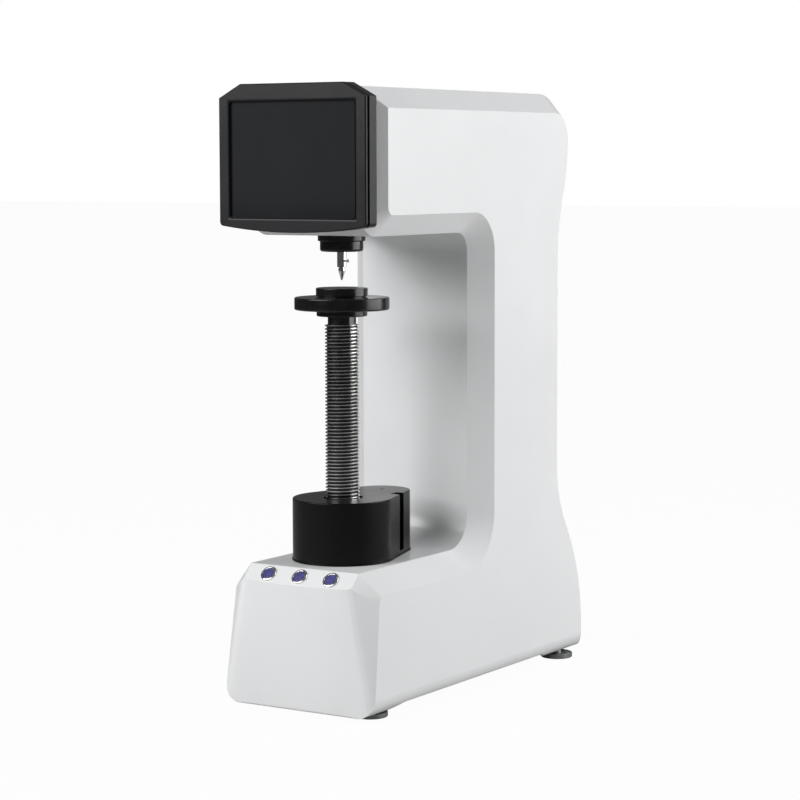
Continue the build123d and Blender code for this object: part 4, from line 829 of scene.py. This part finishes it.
@dataclass
class Casting(SubAssembly):
    """The C-shaped white casting with the softened front corners of its base."""

    corner_high: Point = (76.18 * MM, -257.51 * MM, 150.91 * MM)  # two points of the corner's crease
    corner_low: Point = (94.38 * MM, -256.45 * MM, 52.28 * MM)
    base_top: float = 170 * MM
    soft_radius: float = 26 * MM
    soft_cuts: int = 4
    front_turn: float = 3.0  # degrees that the crowned front is turned at its corners
    wedge_x: tuple[float, float] = (60 * MM, 125 * MM)
    wedge_ahead: float = 25 * MM
    wedge_behind: float = 60 * MM
    wedge_foot: float = -2 * MM

    def _wedge(self, side: float, turn: float) -> Piece:
        """Wedge that takes one flat off the rounding of a front corner of the base.

        Args:
            side: -1 for the left corner, 1 for the right.
            turn: the flat's angle in radians from the front.

        Returns:
            The wedge.
        """
        high, low = Vector(self.corner_high), Vector(self.corner_low)
        lowest, highest = sorted(side * x for x in self.wedge_x)
        near = Vector((lowest, high.y - self.wedge_ahead, self.wedge_foot))
        far = Vector((highest, high.y + self.wedge_behind, self.base_top))
        wedge = slab("corner_wedge", near, far)
        middle = math.radians(BEVEL_TURN + self.front_turn) / 2
        half = math.radians(BEVEL_TURN - self.front_turn) / 2
        depth = self.soft_radius * (math.cos(turn - middle) / math.cos(half) - 1)
        across, back = math.sin(turn), math.cos(turn)
        run = high - low
        way = Vector((across, -back, (back * run.y - across * run.x) / run.z)).normalized()
        on_flat = high - way * depth
        way.x, on_flat.x = way.x * side, on_flat.x * side
        with editing(wedge):
            bpy.ops.mesh.select_all(action="SELECT")
            bpy.ops.mesh.bisect(plane_co=on_flat, plane_no=way, use_fill=True, clear_inner=True)
            bpy.ops.mesh.select_all(action="SELECT")
            bpy.ops.mesh.normals_make_consistent(inside=False)
        return wedge

    def build(self) -> None:
        """Model and dress the shell."""
        shell = copy_of(self.frame, "frame_casting", "casting_shell")
        for side in (-1.0, 1.0):
            for cut in range(self.soft_cuts):
                share = (cut + 0.5) / self.soft_cuts
                turn = math.radians(self.front_turn + (BEVEL_TURN - self.front_turn) * share)
                combine(shell, self._wedge(side, turn))
        smooth(shell, SHARP)
        self.keep(shell, Slot.CASTING_PAINT, "frame", "frame_casting")


@dataclass
class Display(SubAssembly):
    """Display head: bezel with its lip round the screen, and the rear tray."""

    screen_half: float = 85 * MM
    screen_z: tuple[float, float] = (568 * MM, 698 * MM)
    corner: float = 3.0 * MM
    corner_rings: int = 6
    lip: float = 0.9 * MM
    lip_rings: int = 2
    square: float = 60.0  # degrees from which an edge of the opening counts

    def _at_screen(self, point: Vector, slack: float = 0.2 * MM) -> bool:
        """Whether a point lies on the wall of the screen's opening.

        Args:
            point: the point.
            slack: how far off it may be.

        Returns:
            Whether it does.
        """
        beside = abs(abs(point.x) - self.screen_half) < slack
        ends = any(abs(point.z - z) < slack for z in self.screen_z)
        inside = abs(point.x) < self.screen_half + slack
        return (beside or ends) and inside and self.screen_z[0] - slack < point.z < self.screen_z[1] + slack

    def _corner_edge(self, start: Vector, end: Vector) -> bool:
        """Whether an edge is one of the opening's four corners."""
        return self._at_screen(start) and self._at_screen(end) and abs(start.y - end.y) > 1 * MM

    def _lip_edge(self, start: Vector, end: Vector) -> bool:
        """Whether an edge goes round the front of the opening."""
        front = self._front()
        return all(self._at_screen(p) and abs(p.y - front) < 0.1 * MM for p in (start, end))

    def _front(self) -> float:
        """How far forward the bezel's face lies."""
        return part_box("display_bezel")[0][1]

    def build(self) -> None:
        """Model and dress both shells."""
        bezel = copy_of(self.frame, "display_bezel", "bezel_frame")
        round_edges(bezel, self.corner, self.square, self._corner_edge, self.corner_rings)
        round_edges(bezel, self.lip, self.square, self._lip_edge, self.lip_rings)
        smooth(bezel, SHARP)
        self.keep(bezel, Slot.BEZEL_PLASTIC, "frame", "display_bezel")
        tray = copy_of(self.frame, "display_rear_shell", "display_tray")
        smooth(tray, SHARP)
        self.keep(tray, Slot.BEZEL_PLASTIC, "frame", "display_rear_shell")


@dataclass
class Nose(SubAssembly):
    """Nose under the head: flange with its sleeve, and the cup-shaped cap."""

    under_head: float = 547.0
    flange_foot: float = 539.8
    cap_foot: float = 527.8
    sleeve_top: float = 581.0
    flange_radius: float = 27.5
    cap_radius: float = 25.0
    sleeve_radius: float = 22.0
    bush_radius: float = 16.05
    bore: float = 13.5
    cup_radius: float = 20.0
    chuck_hole: float = 6.5
    wall: float = 4.0

    def build(self) -> None:
        """Turn and dress the two rings."""
        shelf = self.under_head + self.wall
        cup_floor = self.cap_foot + self.wall
        flange = [
            (self.bore, self.flange_foot, 0.3),
            (self.flange_radius, self.flange_foot, 1.1),
            (self.flange_radius, self.under_head, 0.0),
            (self.sleeve_radius, self.under_head, 0.0),
            (self.sleeve_radius, self.sleeve_top, 0.5),
            (self.bush_radius, self.sleeve_top, 0.3),
            (self.bush_radius, shelf, 0.0),
            (self.bore, shelf, 0.0),
        ]
        cap = [
            (self.chuck_hole, self.cap_foot, 0.5),
            (self.cap_radius, self.cap_foot, 3.0),
            (self.cap_radius, self.flange_foot, 0.4),
            (self.cup_radius, self.flange_foot, 0.0),
            (self.cup_radius, cup_floor, 0.5),
            (self.chuck_hole, cup_floor, 0.3),
        ]
        for name, corners in (("nose_flange", flange), ("nose_cap", cap)):
            ring = turned(f"{name}_ring", corners, AXIS_POINT, closed=True)
            self.keep(ring, Slot.BLACK_GLOSS, "frame", name)


@dataclass
class AnvilStack(SubAssembly):
    """Elevating screw with its true thread, the disc collar and the anvil."""

    crest_radius: float = 19.9
    root_radius: float = 17.7
    pitch: float = 4.0
    crest: float = 1.2
    foot: float = 188.0
    neck_foot: float = 443.7
    hub_foot: float = 453.3
    disc: tuple[float, float] = (460.7, 475.3)
    anvil_foot: float = 476.7
    anvil_top: float = 486.0
    stem_foot: float = 447.0
    socket_foot: float = 445.0
    keyway: tuple[float, float, float] = (6.0, 16.3, 438.0)  # width, distance of its floor, top
    neck_radius: float = 16.5
    spigot_radius: float = 15.0
    socket_radius: float = 10.05
    hub_bore: float = 15.05
    hub_radius: float = 29.35
    disc_radius: float = 55.0
    stem_radius: float = 10.0
    anvil_step: float = 28.0
    anvil_radius: float = 30.0
    overlap: float = 1.0  # how far the neck and the keyway's cutter reach past what they meet

    def build(self) -> None:
        """Model and dress the three parts."""
        self.keep(self._screw(), Slot.SCREW_STEEL, "lift", "elevating_screw")
        collar = [
            (self.hub_bore, self.hub_foot, 0.4),
            (self.hub_radius, self.hub_foot, 1.2),
            (self.hub_radius, self.disc[0], 0.6),
            (self.disc_radius, self.disc[0], 2.0),
            (self.disc_radius, self.disc[1], 1.6),
            (self.hub_bore, self.disc[1], 0.4),
        ]
        ring = turned("collar_disc", collar, AXIS_POINT, closed=True, steps=160)
        self.keep(ring, Slot.BLACK_GLOSS, "lift", "anvil_collar")
        anvil = [
            (0.0, self.stem_foot, 0.0),
            (self.stem_radius, self.stem_foot, 1.0),
            (self.stem_radius, self.disc[1], 0.0),
            (self.anvil_step, self.disc[1], 0.0),
            (self.anvil_step, self.anvil_foot, 0.4),
            (self.anvil_radius, self.anvil_foot, 0.6),
            (self.anvil_radius, self.anvil_top, 1.0),
            (0.0, self.anvil_top, 0.0),
        ]
        self.keep(turned("anvil_flat", anvil, AXIS_POINT), Slot.BLACK_GLOSS, "lift", "anvil")

    def _screw(self) -> Piece:
        """Thread wound up the axis, cut square at its ends, with the neck on top and the keyway behind.

        Returns:
            The screw.
        """
        half, flank = self.crest / 2, (self.pitch - 2 * self.crest) / 2
        tooth = [
            (self.crest_radius, -half, 0.0),
            (self.crest_radius, half, 0.0),
            (self.root_radius, half + flank, 0.0),
            (self.root_radius, self.pitch - half - flank, 0.0),
            (self.crest_radius, self.pitch - half, 0.0),
        ]
        start = AXIS_POINT + Vector((0.0, 0.0, self.foot * MM - 2 * self.pitch * MM))
        screw = chain("lifting_screw", outline(tooth), start)
        turns = math.ceil((self.neck_foot - self.foot) / self.pitch) + 4
        apply_modifier(
            screw,
            "SCREW",
            axis="Z",
            screw_offset=self.pitch * MM,
            iterations=turns,
            steps=72,
            render_steps=72,
            use_merge_vertices=True,
            merge_threshold=MERGE,
            use_smooth_shade=False,
        )
        settle(screw)
        with editing(screw):
            bpy.ops.mesh.select_all(action="SELECT")
            bpy.ops.mesh.remove_doubles(threshold=MERGE)
            for height, way in ((self.foot, -1.0), (self.neck_foot, 1.0)):
                bpy.ops.mesh.select_all(action="SELECT")
                cut = (0.0, AXIS_Y, height * MM)
                bpy.ops.mesh.bisect(plane_co=cut, plane_no=(0.0, 0.0, way), use_fill=True, clear_outer=True)
            bpy.ops.mesh.select_all(action="SELECT")
            bpy.ops.mesh.normals_make_consistent(inside=False)
        spigot_top = self.disc[1] - 0.5
        neck = [
            (0.0, self.neck_foot - self.overlap, 0.0),
            (self.neck_radius, self.neck_foot - self.overlap, 0.0),
            (self.neck_radius, self.hub_foot, 0.3),
            (self.spigot_radius, self.hub_foot, 0.0),
            (self.spigot_radius, spigot_top, 0.5),
            (self.socket_radius, spigot_top, 0.5),
            (self.socket_radius, self.socket_foot, 0.0),
            (0.0, self.socket_foot, 0.0),
        ]
        combine(screw, turned("screw_neck", neck, AXIS_POINT), "UNION")
        width, floor, top = (v * MM for v in self.keyway)
        low = Vector((-width / 2, AXIS_Y + floor, (self.foot - self.overlap) * MM))
        high = Vector((width / 2, AXIS_Y + self.crest_radius * 1.1 * MM, top))
        combine(screw, slab("keyway_cutter", low, high))
        smooth(screw, SHARP)
        return screw


@dataclass
class ScrewDrive(SubAssembly):
    """Teardrop housing over the screw's drive, on its seat plate."""

    edge: float = 0.5 * MM
    sharpness: float = 35.0

    def build(self) -> None:
        """Soften and dress both."""
        for node, name in (("screw_housing", "drive_housing"), ("drive_seat_plate", "drive_seat")):
            shell = copy_of(self.frame, node, name)
            round_edges(shell, self.edge, self.sharpness)
            smooth(shell, SHARP)
            self.keep(shell, Slot.BLACK_PAINT, "frame", node)


@dataclass
class ButtonRow(SubAssembly):
    """Three push buttons on the base's slope: chrome rings round dished blue caps."""

    pitch: float = 42.8 * MM
    middle: Point = (0.0, -250.5 * MM, 161.0 * MM)
    ring_radius: float = 10.0
    ring_top: float = 2.0
    barrel_radius: float = 8.0
    barrel_foot: float = -12.0
    bore: float = 7.3
    bore_floor: float = -7.0
    stem_hole: float = 4.3
    stem_radius: float = 4.0
    stem_foot: float = -9.6
    cap_radius: float = 7.0
    cap_foot: float = -1.6
    cap_top: float = 1.4
    dish_radius: float = 5.2
    dish: float = 0.5
    steps: int = 64
    mark_radius: float = 2.6
    mark_height: float = 0.6
    mark_edge: float = 0.25

    def _place(self, index: int) -> Matrix:
        """Where one button stands, its Z out of the slope.

        Args:
            index: -1, 0 or 1, from left to right.

        Returns:
            The place.
        """
        x, y, z = self.middle
        tilt = Matrix.Rotation(math.radians(BEVEL_TURN), 4, "X")
        return Matrix.Translation((x + index * self.pitch, y, z)) @ tilt

    def build(self) -> None:
        """Turn one ring and one cap, mark the caps and set all three in place."""
        ring = [
            (self.stem_hole, self.barrel_foot, 0.0),
            (self.barrel_radius, self.barrel_foot, 0.5),
            (self.barrel_radius, 0.0, 0.0),
            (self.ring_radius, 0.0, 0.2),
            (self.ring_radius, self.ring_top, 1.3),
            (self.bore, self.ring_top, 0.5),
            (self.bore, self.bore_floor, 0.0),
            (self.stem_hole, self.bore_floor, 0.0),
        ]
        cap = [
            (0.0, self.stem_foot, 0.0),
            (self.stem_radius, self.stem_foot, 0.4),
            (self.stem_radius, self.cap_foot, 0.0),
            (self.cap_radius, self.cap_foot, 0.3),
            (self.cap_radius, self.cap_top, 0.7),
            (self.dish_radius, self.cap_top - self.dish / 2, 1.5),
            (0.0, self.cap_top - self.dish, 0.0),
        ]
        origin = Vector((0.0, 0.0, 0.0))
        first_ring = turned("ring_pattern", ring, origin, closed=True, steps=self.steps)
        first_cap = turned("cap_pattern", cap, origin, steps=self.steps)
        rings = []
        for index, side in ((-1, "left"), (0, "middle"), (1, "right")):
            place = self._place(index)
            rings.append(placed_copy(first_ring, f"ring_{side}", place))
            blue = placed_copy(first_cap, f"cap_{side}", place)
            mark = self._mark(index)
            blue = join(f"cap_{side}", [blue, placed_copy(mark, f"mark_{side}", place)])
            bpy.data.objects.remove(mark)
            self.keep(blue, Slot.BUTTON_BLUE, f"button_{side}", f"button_cap_{side}")
        self.keep(join("button_bezels", rings), Slot.RING_CHROME, "frame", "button_rings")
        for pattern in (first_ring, first_cap):
            bpy.data.objects.remove(pattern)

    def _mark(self, index: int) -> Piece:
        """Raised mark on one cap: an arrow down, a dot or an arrow up.

        Args:
            index: -1, 0 or 1, from left to right.

        Returns:
            The mark, about the origin.
        """
        bpy.ops.object.select_all(action="DESELECT")
        sides = 3 if index else 24
        bpy.ops.mesh.primitive_cylinder_add(
            vertices=sides, radius=self.mark_radius * MM, depth=self.mark_height * MM
        )
        mark = bpy.context.active_object
        mark.location.z = (self.cap_top - 0.55) * MM  # its foot sinks into the dish
        mark.rotation_euler.z = math.pi if index < 0 else 0.0
        settle(mark)
        round_edges(mark, self.mark_edge * MM, SHARP, rings=2)
        smooth(mark)
        return mark


@dataclass(frozen=True)
class Softbox:
    """Rectangular lamp that points at the object's middle."""

    name: str
    azimuth: float  # degrees round from the front towards the right
    rise: float  # degrees up
    away: float
    size: tuple[float, float]
    power: float  # watts


@dataclass
class Stage:
    """Floor, lamps, world and camera."""

    lens: float = 110.59
    sensor: float = 36.0
    azimuth: float = 32.384
    pitch: float = 5.492
    roll: float = -0.136
    eye: Point = (1.57461, -2.51956, 0.62823)
    middle: Point = (0.0, 0.0, 0.36)
    lamps: tuple[Softbox, ...] = (
        Softbox("lamp_right", 118.0, 16.0, 2.4, (2.2, 1.6), 55.0),
        Softbox("lamp_left", -27.0, 28.0, 2.4, (2.0, 1.2), 58.0),
        Softbox("lamp_top", 60.0, 80.0, 2.2, (0.7, 0.7), 7.0),
    )
    floor_size: float = 60.0
    floor_greys: tuple[float, float] = (0.44, 0.47)
    floor_white: float = 0.97  # share of plain white that a camera sees on the floor
    air: Colour = (0.97, 0.985, 1.0)
    air_strength: float = 0.10
    mirrored_white: float = 0.06  # share of plain white that gloss and glass see round them

    def build(self) -> None:
        """Set up everything round the object."""
        self._floor()
        self._world()
        for lamp in self.lamps:
            self._softbox(lamp)
        self._camera()

    def _softbox(self, box: Softbox) -> None:
        """Hang one lamp.

        Args:
            box: the lamp's place, size and power.
        """
        turn, up = math.radians(box.azimuth), math.radians(box.rise)
        out = Vector((math.sin(turn) * math.cos(up), -math.cos(turn) * math.cos(up), math.sin(up)))
        bpy.ops.object.light_add(type="AREA", location=Vector(self.middle) + out * box.away)
        lamp = bpy.context.active_object
        lamp.name = box.name
        lamp.data.shape = "RECTANGLE"
        lamp.data.size, lamp.data.size_y = box.size
        lamp.data.energy = box.power
        lamp.rotation_euler = (-out).to_track_quat("-Z", "Y").to_euler()

    def _floor(self) -> None:
        """Lay a wide pale floor that looks white but keeps the object's shadow."""
        bpy.ops.object.select_all(action="DESELECT")
        bpy.ops.mesh.primitive_plane_add(size=self.floor_size, location=(0, 0, 0))
        floor = bpy.context.active_object
        floor.name = "studio_floor"
        material = bpy.data.materials.new("floor_paper")
        material.use_nodes = True
        graph = Graph(material.node_tree)
        fibre = graph.noise(4 * MM, 3.0)
        low, high = ((grey, grey, grey) for grey in self.floor_greys)
        matt = graph.value("ShaderNodeBsdfDiffuse", {}, {"Color": graph.blend(fibre, low, high)})
        glow = graph.value("ShaderNodeEmission", {}, {"Strength": 1.0})
        seen = Signal(graph, graph.node("ShaderNodeLightPath").outputs["Is Camera Ray"])
        mixed = graph.value("ShaderNodeMixShader", {}, {0: seen * self.floor_white, 1: matt, 2: glow})
        graph.node("ShaderNodeOutputMaterial", {}, {"Surface": mixed})
        floor.data.materials.append(material)

    def _world(self) -> None:
        """Grey surroundings that a camera sees as white."""
        world = bpy.data.worlds.new("studio_air")
        bpy.context.scene.world = world
        world.use_nodes = True
        graph = Graph(world.node_tree)
        look = {"Color": (*self.air, 1.0), "Strength": self.air_strength}
        air = graph.value("ShaderNodeBackground", {}, look)
        look = {"Color": (1.0, 1.0, 1.0, 1.0), "Strength": 1.0}
        white = graph.value("ShaderNodeBackground", {}, look)
        path = graph.node("ShaderNodeLightPath")
        camera, glossy, through = (
            Signal(graph, path.outputs[name])
            for name in ("Is Camera Ray", "Is Glossy Ray", "Is Transmission Ray")
        )
        share = (camera + (glossy + through) * self.mirrored_white).clamp()
        mixed = graph.value("ShaderNodeMixShader", {}, {0: share, 1: air, 2: white})
        graph.node("ShaderNodeOutputWorld", {}, {"Surface": mixed})

    def _camera(self) -> None:
        """Set the camera at its place, with its turn written out as three axes."""
        turn, down, roll = (math.radians(v) for v in (self.azimuth, self.pitch, self.roll))
        ahead = Vector(
            (-math.sin(turn) * math.cos(down), math.cos(turn) * math.cos(down), -math.sin(down))
        )
        level = Vector((math.cos(turn), math.sin(turn), 0.0))
        above = level.cross(ahead)
        right = level * math.cos(roll) + above * math.sin(roll)
        up = above * math.cos(roll) - level * math.sin(roll)
        axes = Matrix((right, up, -ahead)).transposed().to_4x4()
        bpy.ops.object.camera_add()
        camera = bpy.context.active_object
        camera.name = "studio_camera"
        camera.matrix_world = Matrix.Translation(self.eye) @ axes
        camera.data.lens = self.lens
        camera.data.sensor_width = self.sensor
        camera.data.clip_end = 100.0
        bpy.context.scene.camera = camera


def dress_frame(frame: dict) -> None:
    """Give every CAD node the finish of its material slot.
    """
    for subpart in frame["record"]["subparts"]:
        node = frame["nodes"][subpart["node"]]
        node.material_slots[0].material = Slot[subpart["material_slot"].upper()].material()


def main() -> None:
    """Build the sub-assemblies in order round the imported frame."""
    logging.basicConfig(level=logging.INFO, format="%(message)s")
    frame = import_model()
    bpy.context.scene.view_settings.view_transform = "Standard"
    Stage().build()
    dress_frame(frame)
    for assembly in (Casting, Display, Nose, AnvilStack, ScrewDrive, ButtonRow):
        assembly(frame).build()


if __name__ == "__main__":
    main()
